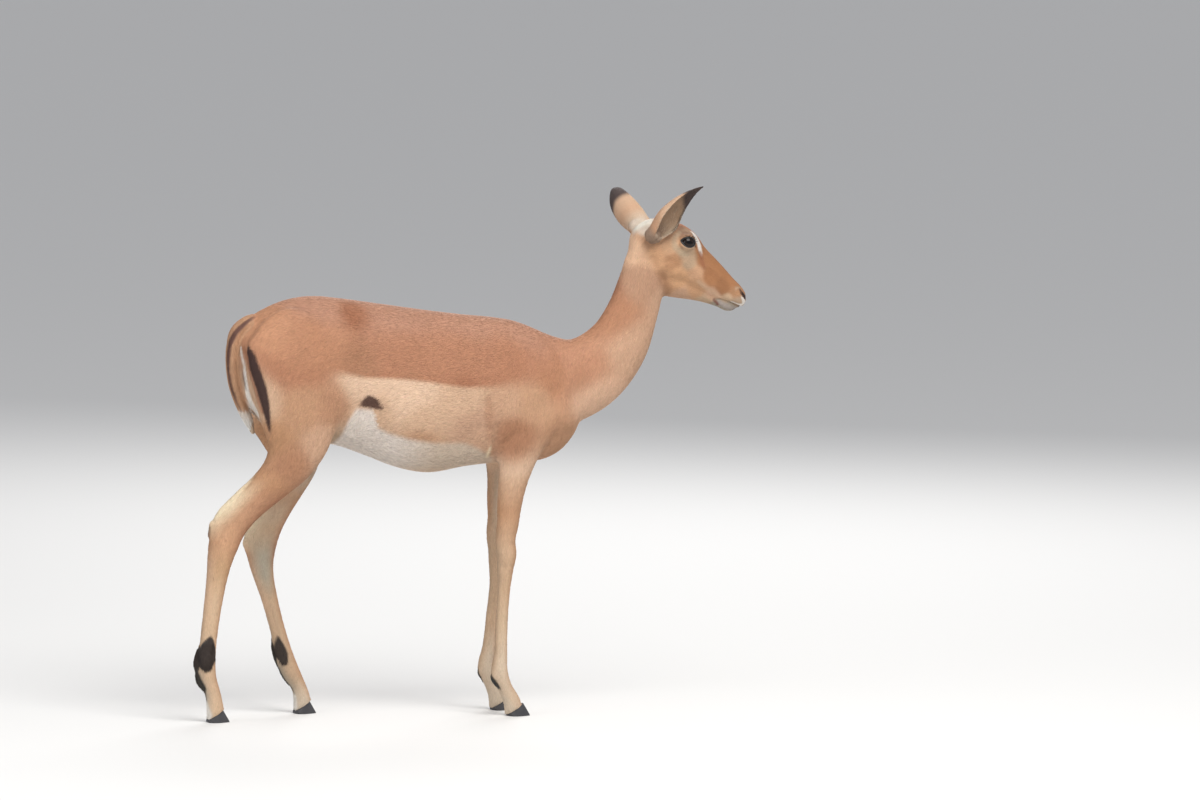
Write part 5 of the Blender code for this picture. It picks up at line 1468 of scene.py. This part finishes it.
def skin_look():
    """The marked hide: fine streaks along the hair in each part's own direction, with a soft mottle."""
    look = Look("hide", Roughness=0.62, Specular_IOR_Level=0.2)
    parts = look.node("ShaderNodeSeparateColor", {}, {0: look.attribute("parts")}, "Red").node
    leg, neck, head = (look.number(parts.outputs[k]) for k in range(3))
    body = look.noise(1.0, (110, 620, 460), 0.12)
    down = look.noise(1.0, (620, 620, 110), 0.0)
    slope = look.noise(1.0, (560, 560, 110), 0.5)
    face = look.noise(1.0, (180, 800, 800), -0.5)
    streak = body * (1 - leg - neck - head) + down * leg + slope * neck + face * head
    mottle = look.noise(26.0, detail=3.0)
    shade = 0.68 + 0.42 * streak + 0.2 * mottle
    look.link(look.mix(1.0, look.attribute("tone"), grey(look, shade), "MULTIPLY"), "Base Color")
    look.link(0.52 + 0.2 * streak, "Roughness")
    look.bump(streak, 0.55, 0.0012)
    return look.material


def tuft_look():
    """Hair: each blade's own tone under a soft mottle, with a low silky gloss."""
    look = Look("coat", Roughness=0.62, Specular_IOR_Level=0.22)
    shade = 0.88 + 0.24 * look.noise(60.0, detail=3.0)
    look.link(look.mix(1.0, look.attribute("tone"), grey(look, shade), "MULTIPLY"), "Base Color")
    return look.material


def eye_look():
    look = Look("eye_wet", Roughness=0.12, Specular_IOR_Level=0.12, Coat_Weight=0.3, Coat_Roughness=0.03)
    look.link(look.attribute("tone"), "Base Color")
    return look.material


def rim_look():
    look = Look("rim_wet", Roughness=0.3, Specular_IOR_Level=0.5)
    shade = 0.01 + 0.012 * look.noise(900.0)
    look.link(grey(look, shade), "Base Color")
    look.bump(look.noise(1400.0), 0.4, 0.0003)
    return look.material


def hoof_look():
    """Dark grey horn: rings round the wall, fine grain down it, and dusty, scuffed patches."""
    look = Look("horn", Specular_IOR_Level=0.4)
    rings = look.noise(1.0, (30, 30, 620), 0.1, 2.0)
    grain = look.noise(1.0, (900, 900, 60))
    dust = look.noise(70.0, detail=4.0)
    horn = look.mix(grain, (0.018, 0.018, 0.022, 1), (0.05, 0.048, 0.055, 1))
    horn = look.mix(dust * 0.22, horn, (0.18, 0.17, 0.16, 1))
    look.link(horn, "Base Color")
    look.link(0.36 + 0.3 * dust, "Roughness")
    look.bump(rings * 0.7 + grain * 0.3, 0.5, 0.0008)
    return look.material


def floor_look():
    look = Look("plain_floor", Roughness=0.85, Base_Color=(0.74, 0.73, 0.71, 1))
    look.bump(look.noise(40.0, detail=4.0), 0.08, 0.002)
    return look.material


# ---------------------------------------------------------------- eyes


def eye_ball(side, home):
    """An eyeball with a clear bulging front: radius R(1 + 0.03 e^-(angle / 0.75)^4).

    Its tones carry the iris and a level pupil.
    """
    middle, fore, up, out = eye_axes(side)
    rings, sides = 60, 96
    away = np.linspace(0.0, math.pi, rings)[1:-1, None]
    turn = np.linspace(0, 2 * math.pi, sides, endpoint=False)[None]
    radius = EYE_RADIUS * (1 + 0.03 * np.exp(-((away / 0.75) ** 4)))
    grid = middle + radius[..., None] * (
        out * np.cos(away)[..., None]
        + fore * (np.sin(away) * np.cos(turn))[..., None]
        + up * (np.sin(away) * np.sin(turn))[..., None]
    )
    item = closed_tube("eye", grid, home, 0.0)
    points = points_of(item.data)
    offset = points - middle
    forward, upward = offset @ fore / EYE_RADIUS, offset @ up / EYE_RADIUS
    spread_out = np.hypot(forward, upward)
    front = offset @ out > 0
    iris = np.tile((0.014, 0.0075, 0.005), (len(points), 1))
    iris = mixed(iris, (0.007, 0.004, 0.003), smooth(0.45, 0.62, spread_out))
    colours = np.where((front & (spread_out < 0.66))[:, None], iris, (0.01, 0.007, 0.006))
    pupil = smooth(1.08, 0.92, np.hypot(forward / 0.44, upward / 0.22))
    colours = mixed(colours, (0.002, 0.002, 0.003), pupil * front)
    paint(item.data, colours)
    item.data.shade_smooth()
    return item


def rim(side, home):
    """The black wet edge of the lids: a tube along the opening, thicker at the front corner."""
    middle, fore, up, out = eye_axes(side)
    lon = np.concatenate([np.linspace(-1, 1, 49), np.linspace(1, -1, 49)[1:-1]]) * EYE_LONG
    top, bottom = eye_edge(lon)
    upper = np.arange(len(lon)) < 49
    lat = np.where(upper, top, -bottom)
    path = np.stack([np.cos(lat) * np.sin(lon), np.sin(lat), np.cos(lat) * np.cos(lon)], 1)
    ways = path[:, :1] * fore + path[:, 1:2] * up + path[:, 2:] * out
    centre = middle + ways * (EYE_RADIUS + 0.0006)
    thick = 0.0012 + 0.0006 * smooth(0.6, 1.0, np.abs(lon / EYE_LONG)) + 0.0003 * upper
    along = unit(np.roll(centre, -1, axis=0) - np.roll(centre, 1, axis=0))
    sideways = unit(np.cross(ways, along))
    turn = np.linspace(0, 2 * math.pi, 10, endpoint=False)
    ring = sideways[:, None] * (1.25 * np.cos(turn))[None, :, None]
    ring = ring + ways[:, None] * (0.9 * np.sin(turn))[None, :, None]
    grid = centre[:, None] + ring * thick[:, None, None]
    count, sides = grid.shape[:2]
    at = np.arange(count)[:, None] * sides + np.arange(sides)[None]
    after = np.roll(at, -1, 0)
    faces = np.stack([at, after, np.roll(after, -1, 1), np.roll(at, -1, 1)], -1).reshape(-1, 4)
    item = add_object("rim", mesh_of("rim", grid.reshape(-1, 3), faces.tolist()), home)
    item.data.shade_smooth()
    return faced_out(item)


def lash_roots(side, rng):
    """Where lashes stand along the upper lid, and which way they point: out, fanned, and a little down."""
    middle, fore, up, out = eye_axes(side)
    lon = np.sort(rng.uniform(-0.75, 0.92, 90)) * EYE_LONG
    top, _ = eye_edge(lon)
    lat = top + rng.uniform(0.0, 0.05, len(lon))
    ways = (np.cos(lat) * np.sin(lon))[:, None] * fore + np.sin(lat)[:, None] * up
    ways = ways + (np.cos(lat) * np.cos(lon))[:, None] * out
    roots = middle + ways * (EYE_RADIUS + 0.0014)
    fan = fore * (0.25 * lon / EYE_LONG)[:, None]
    point = unit(ways * 0.9 + fan - up * 0.28 + rng.normal(0, 0.08, ways.shape))
    return roots, ways, point


def lashes(home, rng):
    """Stiff dark lashes: thin pointed blades, bent a little upwards."""
    found = [lash_roots(side, rng) for side in (RIGHT, LEFT)]
    roots, ways, point = (np.concatenate([f[k] for f in found]) for k in range(3))
    long = rng.uniform(0.0055, 0.0095, (len(roots), 1))
    side = unit(np.cross(ways, point)) * 0.00022
    lift = unit(np.cross(point, side)) * 0.00022
    middle = roots + point * long * 0.55
    tip = roots + point * long + np.array((0, 0, 0.0012))
    points = [roots - side, roots + side, middle + side * 0.8, middle - side * 0.8, middle + lift, tip]
    points = np.stack(points, 1)
    count = len(roots)
    faces = (np.arange(count)[:, None, None] * 6 + np.array(TUFT_FACES)).reshape(-1, 3)
    return add_object("lashes", mesh_of("lashes", points.reshape(-1, 3), faces.tolist()), home)


# The claws: the gap between two of a foot, how far the toe reaches past the foot's own length, and how far
# the wall leans back for its height.
CLEFT = 0.0026
TOE_REACH = 0.007
WALL_LEAN = 0.6


def hooves(home):
    """Eight claws: each rises from the sole to the slanted coronet and leans back.

    It bulges outside and is flat at the cleft.
    """
    share = np.array((0.0, 0.03, 0.08, 0.16, 0.26, 0.38, 0.5, 0.62, 0.74, 0.86, 0.95, 1.0))[:, None]
    t = (1 - np.cos(np.linspace(0, math.pi, 37))) / 2
    bulge = np.sqrt(np.clip(t / 0.14, 0, 1)) * np.clip((1 - t) / 0.6, 0, 1) ** 0.62
    inset = 0.001 * smooth(0.06, 0.0, share)
    width = SOLE_HALF - CLEFT / 2 - 0.0018 * share - inset
    made = []
    for heel, toe, middle, side in FEET.values():
        slope = coronet_slope(heel, toe)
        lean = WALL_LEAN * share
        nose = (toe + TOE_REACH - lean * (CORONET_HEEL - slope * heel)) / (1 + lean * slope) - inset
        rear = heel + inset - 0.0012 * np.sin(math.pi * share)
        x = rear + (nose - rear) * t
        height = share * (CORONET_HEEL + slope * (x - heel)) - 0.0004 * share
        outside = CLEFT / 2 + 0.0016 + (width - 0.0016) * bulge
        inside = np.full_like(x, CLEFT / 2)
        wall, cleft = (np.stack([x, across, height], 2) for across in (outside, inside))
        ring = np.concatenate([wall, cleft[:, ::-2]], 1)
        for turned in (1, -1):
            grid = ring * (1, side * turned, 1) + (0, side * middle, 0)
            made.append(closed_tube("claw", grid, home, 0.0))
    return joined(made, "claws", home)


# ---------------------------------------------------------------- putting it together


# The dark brushes over the hind glands, and the dark hair of the fetlocks, at the right side's stance.
BRUSHES = (
    ((-0.621, 0.078, 0.184, 0.003), (-0.625, 0.078, 0.165, 0.016), (-0.628, 0.078, 0.145, 0.02),
     (-0.631, 0.078, 0.13, 0.013)),
    ((-0.647, 0.065, 0.166, 0.002), (-0.65, 0.065, 0.147, 0.01), (-0.648, 0.066, 0.132, 0.012),
     (-0.646, 0.066, 0.12, 0.006)),
    ((-0.629, 0.052, 0.168, 0.002), (-0.633, 0.05, 0.149, 0.009), (-0.634, 0.05, 0.134, 0.011),
     (-0.633, 0.05, 0.122, 0.006)),
)
FETLOCKS = (
    ((-0.648, 0.065, 0.11, 0.003), (-0.648, 0.067, 0.09, 0.008), (-0.64, 0.067, 0.075, 0.008)),
    ((0.005, 0.052, 0.088, 0.002), (0.008, 0.056, 0.073, 0.009), (0.017, 0.06, 0.063, 0.005)),
)
# Bare places on the head: the nostrils, the nose's end and the line of the mouth, with half widths.
HEAD_BARE = (
    ((0.238, -0.002, 0.02, 0.002), (0.246, -0.008, 0.021, 0.0045), (0.254, -0.012, 0.018, 0.0045),
     (0.264, -0.016, 0.011, 0.003)),
    ((0.266, -0.012, 0.008, 0.004), (0.27, -0.016, 0.0, 0.006)),
    ((0.202, -0.051, 0.018, 0.0008), (0.213, -0.045, 0.02, 0.0014), (0.231, -0.041, 0.02, 0.0014),
     (0.246, -0.039, 0.018, 0.0014), (0.257, -0.037, 0.013, 0.0014), (0.265, -0.035, 0.0, 0.0014)),
)


def paint_skin(item, points):
    """The markings with their painted shade, and how far each place belongs to the legs, the neck and the
    head.
    """
    paint(item.data, coat_colour(points))
    q = standing(points)
    head = head_share(points)
    leg = smooth(0.66, np.where(q[:, 0] < -0.2, 0.5, 0.56), q[:, 2]) * (q[:, 0] < 0.12)
    neck = smooth(0.1, 0.2, q[:, 0]) * (1 - head)
    paint(item.data, np.stack([leg * (1 - neck) * (1 - head), neck, head], 1), "parts")


def eye_clear(points, margin):
    """True away from the openings of the eyes by this margin."""
    clear = np.ones(len(points), bool)
    for side in (RIGHT, LEFT):
        reach, outward, lon, lat = eye_angles(points - eye_axes(side)[0], side)
        top, bottom = eye_edge(lon)
        room = margin / EYE_RADIUS
        inside = (np.abs(lon) < EYE_LONG + room) & (lat < top + room) & (lat > -bottom - room)
        inside &= outward > 0
        clear &= ~(inside & (reach < EYE_RADIUS + 0.006))
    return clear


def coat_sizes(q, head, a, ear, rng):
    """Each tuft's length, width, and heights of its middle and tip above the skin."""
    z = q[:, 2]
    long = np.interp(z, (0.05, 0.35, 0.5, 0.6), (0.005, 0.007, 0.009, 0.0105))
    wide = np.interp(z, (0.05, 0.35, 0.5, 0.6), (0.0009, 0.001, 0.0012, 0.0013))
    lift = np.interp(z, (0.05, 0.35, 0.6), (0.0003, 0.0004, 0.0005))
    on_head = head > 0.5
    face = np.interp(a, (-0.02, 0.05, 0.16, 0.22, 0.26), (0.0085, 0.0055, 0.0045, 0.0032, 0.0022))
    long = np.where(on_head, face, long)
    wide = np.where(on_head, np.interp(a, (0.0, 0.1, 0.24), (0.001, 0.0008, 0.0005)), wide)
    lift = np.where(on_head, np.interp(a, (0.0, 0.12, 0.24), (0.0005, 0.0004, 0.0002)), lift)
    on_ear = ear != 0
    long, wide = np.where(on_ear, 0.005, long), np.where(on_ear, 0.0007, wide)
    lift = np.where(on_ear, 0.0003, lift)
    count = len(z)
    long = long * rng.uniform(0.75, 1.3, count)
    wide = wide * rng.uniform(0.75, 1.25, count)
    middle = lift * rng.uniform(0.6, 1.3, count)
    tip = lift * rng.uniform(0.1, 1.7, count)
    return np.stack([long, wide, middle, tip], 1)


def swayed(ways, normals, amount):
    """The ways turned about the normals by an angle each."""
    across = np.cross(normals, ways)
    return ways * np.cos(amount)[:, None] + across * np.sin(amount)[:, None]


def short_coat(skin, home, rng):
    """The short coat all over, in pieces by part of the body."""
    where = skin.middles
    q, head, a = standing(where), head_share(where), head_axes(where)[:, 0]
    ear, _ = ear_of(where)
    spacing = np.interp(q[:, 2], (0.05, 0.35, 0.5, 0.6), (0.0024, 0.0027, 0.003, 0.0033))
    spacing = np.where(head > 0.5, np.interp(a, (0.0, 0.12, 0.24), (0.0025, 0.002, 0.0016)), spacing)
    spacing = np.where(ear != 0, 0.0023, spacing)
    roots, normals = skin.sown(spacing, rng)
    at = head_axes(roots)
    q, head, a = standing(roots), head_share(roots), at[:, 0]
    ear, place = ear_of(roots)
    keep = eye_clear(roots, 0.0022) & (roots[:, 2] > coronet_lift(roots) + 0.001)
    for path in HEAD_BARE:
        keep &= band(at, path, 0.0006) < 0.5
    roots, normals, q, head, a, ear, place = (v[keep] for v in (roots, normals, q, head, a, ear, place))
    ways = lie_of(roots, normals, ear, place)
    bend = 2 * np.sin(roots @ np.array((-19.0, 29.0, 11.0)))
    drift = 0.16 * np.sin(roots @ np.array((31.0, 17.0, 23.0)) + bend)
    ways = swayed(ways, normals, drift + rng.normal(0, 0.13, len(roots)))
    sizes = coat_sizes(q, head, a, ear, rng)
    colours = coat_colour(roots + ways * sizes[:, :1] * 0.5)
    colours = colours * (1 + rng.normal(0, 0.065, (len(roots), 1)))
    colours = colours * (1 + rng.normal(0, 0.018, colours.shape))
    part = np.select(
        [ear != 0, head > 0.5, q[:, 0] > 0.13, q[:, 2] < 0.54, q[:, 0] > -0.2],
        [0, 1, 2, 3, 4],
        5,
    )
    names = ("ears", "head", "neck", "legs", "barrel", "rump")
    made = []
    for k, name in enumerate(names):
        index = np.where(part == k)[0]
        axis = 2 if name in ("legs", "neck") else 0
        index = index[np.argsort(roots[index, axis])]
        shares = max(1, math.ceil(len(index) / MOST_TUFTS))
        for number, group in enumerate(np.array_split(index, shares)):
            label = "coat_" + name + ("_%d" % (number + 1) if shares > 1 else "")
            chosen = (values[group] for values in (roots, normals, ways, sizes, colours))
            made.append(tufts(label, skin, *chosen, home))
    return made


def long_hair(skin, home, rng):
    """The longer hair: gland brushes, fetlocks, hoof tops, ear linings and fringes, and the tail's end."""
    where = skin.middles
    q = standing(where)
    ear, place = ear_of(where)
    height = where[:, 2] - coronet_lift(where)
    tail = tail_share(where)
    brush = np.maximum.reduce([band(q, path, 0.002) for path in BRUSHES])
    fetlock = np.maximum.reduce([band(q, path, 0.002) for path in FETLOCKS])
    u, v, wall = place.T
    groups = (
        ("brush", brush > 0.5, 0.0014, (0.012, 0.001, 0.0018, 0.002), 0.0, None),
        ("fetlock", fetlock > 0.5, 0.0018, (0.009, 0.0011, 0.0012, 0.0018), 0.0, None),
        ("coronet", (height > 0.0012) & (height < 0.007) & (where[:, 2] < 0.06), 0.0014,
         (0.0065, 0.001, 0.0007, 0.0007), 0.0, None),
        ("lining", (ear != 0) & (wall < 0) & (u > 0.1) & (u < 0.55) & (np.abs(v) > 0.35), 0.0026,
         (0.0095, 0.0005, 0.001, 0.0018), 0.5, (0.46, 0.35, 0.25)),
        ("fringe", (ear != 0) & (np.abs(v) > 0.9) & (u > 0.12) & (u < 0.45), 0.0018,
         (0.0075, 0.0005, 0.0005, 0.001), 0.4, (0.62, 0.5, 0.37)),
        ("tail_end", tail & (where[:, 2] < 0.66) & (where[:, 2] > 0.634), 0.002,
         (0.019, 0.0011, 0.001, 0.0012), 0.0, WHITE),
        ("tail_edge", tail & (where[:, 2] < 0.8) & (where[:, 2] > 0.66), 0.003,
         (0.014, 0.0012, 0.0007, 0.0008), 0.0, None),
    )
    found = []
    for name, chosen, spacing, size, inward, tone in groups:
        roots, normals = skin.sown(np.where(chosen, spacing, np.inf), rng)
        ear, place = ear_of(roots)
        ways = lie_of(roots, normals, ear, place)
        if inward:
            for side in (RIGHT, LEFT):
                on = ear == side
                across = ear_axes(side)[4]
                ways[on] = ways[on] * 0.55 - across * (inward * np.sign(place[on, 1]))[:, None]
            ways = unit(ways - normals * (ways * normals).sum(axis=1, keepdims=True))
        ways = swayed(ways, normals, rng.normal(0, 0.16, len(roots)))
        sizes = np.array(size) * rng.uniform(0.65, 1.25, (len(roots), 4))
        colours = coat_colour(roots)
        if tone is not None:
            colours = mixed(colours, tone, np.full(len(roots), 0.65))
        if name in ("brush", "fetlock"):
            colours = np.minimum(colours, 0.05)
        colours = colours * (1 + rng.normal(0, 0.1, (len(roots), 1)))
        found.append((roots, normals, ways, sizes, colours))
    return [tufts("coat_long", skin, *(np.concatenate(values) for values in zip(*found)), home)]


def area_light(name, at, aim, size, power, colour=(1, 1, 1)):
    lamp = bpy.data.lights.new(name, "AREA")
    lamp.energy, lamp.size, lamp.color = power, size, colour
    item = bpy.data.objects.new(name, lamp)
    bpy.context.scene.collection.objects.link(item)
    item.location = at
    item.rotation_euler = (Vector(aim) - Vector(at)).to_track_quat("-Z", "Y").to_euler()


def studio(home):
    """A pale floor, a wide soft light overhead, a fill, a light from behind and an even surround."""
    area_light("key", (0.6, -3.2, 4.6), (0.0, 0.0, 0.6), 3.6, 250, (1.0, 0.985, 0.96))
    area_light("fill", (-4.5, -2.0, 2.2), (0.0, 0.0, 0.6), 3.0, 60, (0.95, 0.97, 1.0))
    area_light("back", (2.0, 4.0, 3.4), (0.0, 0.0, 0.7), 3.0, 110)
    world = bpy.data.worlds.new("surround")
    bpy.context.scene.world = world
    world.use_nodes = True
    world.node_tree.nodes["Background"].inputs[0].default_value = (0.93, 0.95, 1.0, 1)
    world.node_tree.nodes["Background"].inputs[1].default_value = 0.55
    grid = bmesh.new()
    bmesh.ops.create_grid(grid, x_segments=2, y_segments=2, size=FLOOR_HALF)
    mesh = bpy.data.meshes.new("floor")
    grid.to_mesh(mesh)
    grid.free()
    floor = add_object("floor", mesh, home)
    floor.data.materials.append(floor_look())


CAMERA_TURN, CAMERA_RISE, CAMERA_ROLL = math.radians(-18), math.radians(5.5), math.radians(1.1)
CAMERA_AWAY = 25.0
CAMERA_WIDTH = 2.5603
CAMERA_AT = (0.3, 0.666)


def camera():
    """From far off its right side, 18 degrees towards its tail and 5.5 above the level, rolled by 1.1."""
    azimuth, elevation, roll = CAMERA_TURN, CAMERA_RISE, CAMERA_ROLL
    level = math.cos(elevation)
    back = Vector((math.sin(azimuth) * level, -math.cos(azimuth) * level, math.sin(elevation)))
    across = Vector((math.cos(azimuth), math.sin(azimuth), 0.0))
    above = back.cross(across)
    right = across * math.cos(roll) + above * math.sin(roll)
    upward = above * math.cos(roll) - across * math.sin(roll)
    lens = bpy.data.cameras.new("camera")
    item = bpy.data.objects.new("camera", lens)
    bpy.context.scene.collection.objects.link(item)
    lens.sensor_width, lens.clip_end = 36.0, 200.0
    lens.lens = 36.0 * CAMERA_AWAY / CAMERA_WIDTH
    turned = Matrix((right, upward, back)).transposed().to_4x4()
    turned.translation = right * CAMERA_AT[0] + upward * CAMERA_AT[1] + back * CAMERA_AWAY
    item.matrix_world = turned
    bpy.context.scene.camera = item
    bpy.context.scene.view_settings.view_transform = "Standard"


def coat_slot(name):
    """The name of a colour slot for a piece of coat: rust_coat on the rump and barrel, tan_coat elsewhere."""
    return "rust_coat" if "rump" in name or "barrel" in name else "tan_coat"


def main():
    """Builds the animal, shifts it so that its right eye meets the frame's, and sets up the studio."""
    home = bpy.data.collections.new("animal")
    bpy.context.scene.collection.children.link(home)
    rng = np.random.default_rng(SEED)
    low, high = (np.array(corner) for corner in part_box("eye_right"))
    shift = (low + high) / 2 - np.array(head_point(EYE_AT[0], EYE_AT[1], -EYE_AT[2]))
    item = skin_piece(home)
    item.name = "skin"
    paint_skin(item, points_of(item.data))
    skin = Skin(item, home)
    coats = short_coat(skin, home, rng) + long_hair(skin, home, rng)
    rims = [rim(side, home) for side in (RIGHT, LEFT)]
    balls = {side: eye_ball(side, home) for side in (RIGHT, LEFT)}
    lash = lashes(home, rng)
    rims = joined(rims, "lid_rims", home)
    claws = hooves(home)
    hide, hair, wet, bare, horn = skin_look(), tuft_look(), eye_look(), rim_look(), hoof_look()
    flesh = [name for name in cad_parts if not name.startswith(("eye", "hoof"))]
    for piece, material, slot in (
        [(item, hide, "tan_coat"), (rims, bare, "eye"), (lash, bare, "eye"), (claws, horn, "hoof_horn")]
        + [(coat, hair, coat_slot(coat.name)) for coat in coats]
        + [(ball, wet, "eye") for ball in balls.values()]
    ):
        piece.data.materials.clear()
        piece.data.materials.append(material)
        piece.data.transform(Matrix.Translation(shift))
        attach(piece, "root")
    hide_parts(*flesh)
    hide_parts("eye_right")
    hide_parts("eye_left")
    balls[RIGHT].name, balls[LEFT].name = "eyeball_right", "eyeball_left"
    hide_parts(*[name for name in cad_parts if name.startswith("hoof")])
    studio(home)
    camera()


main()
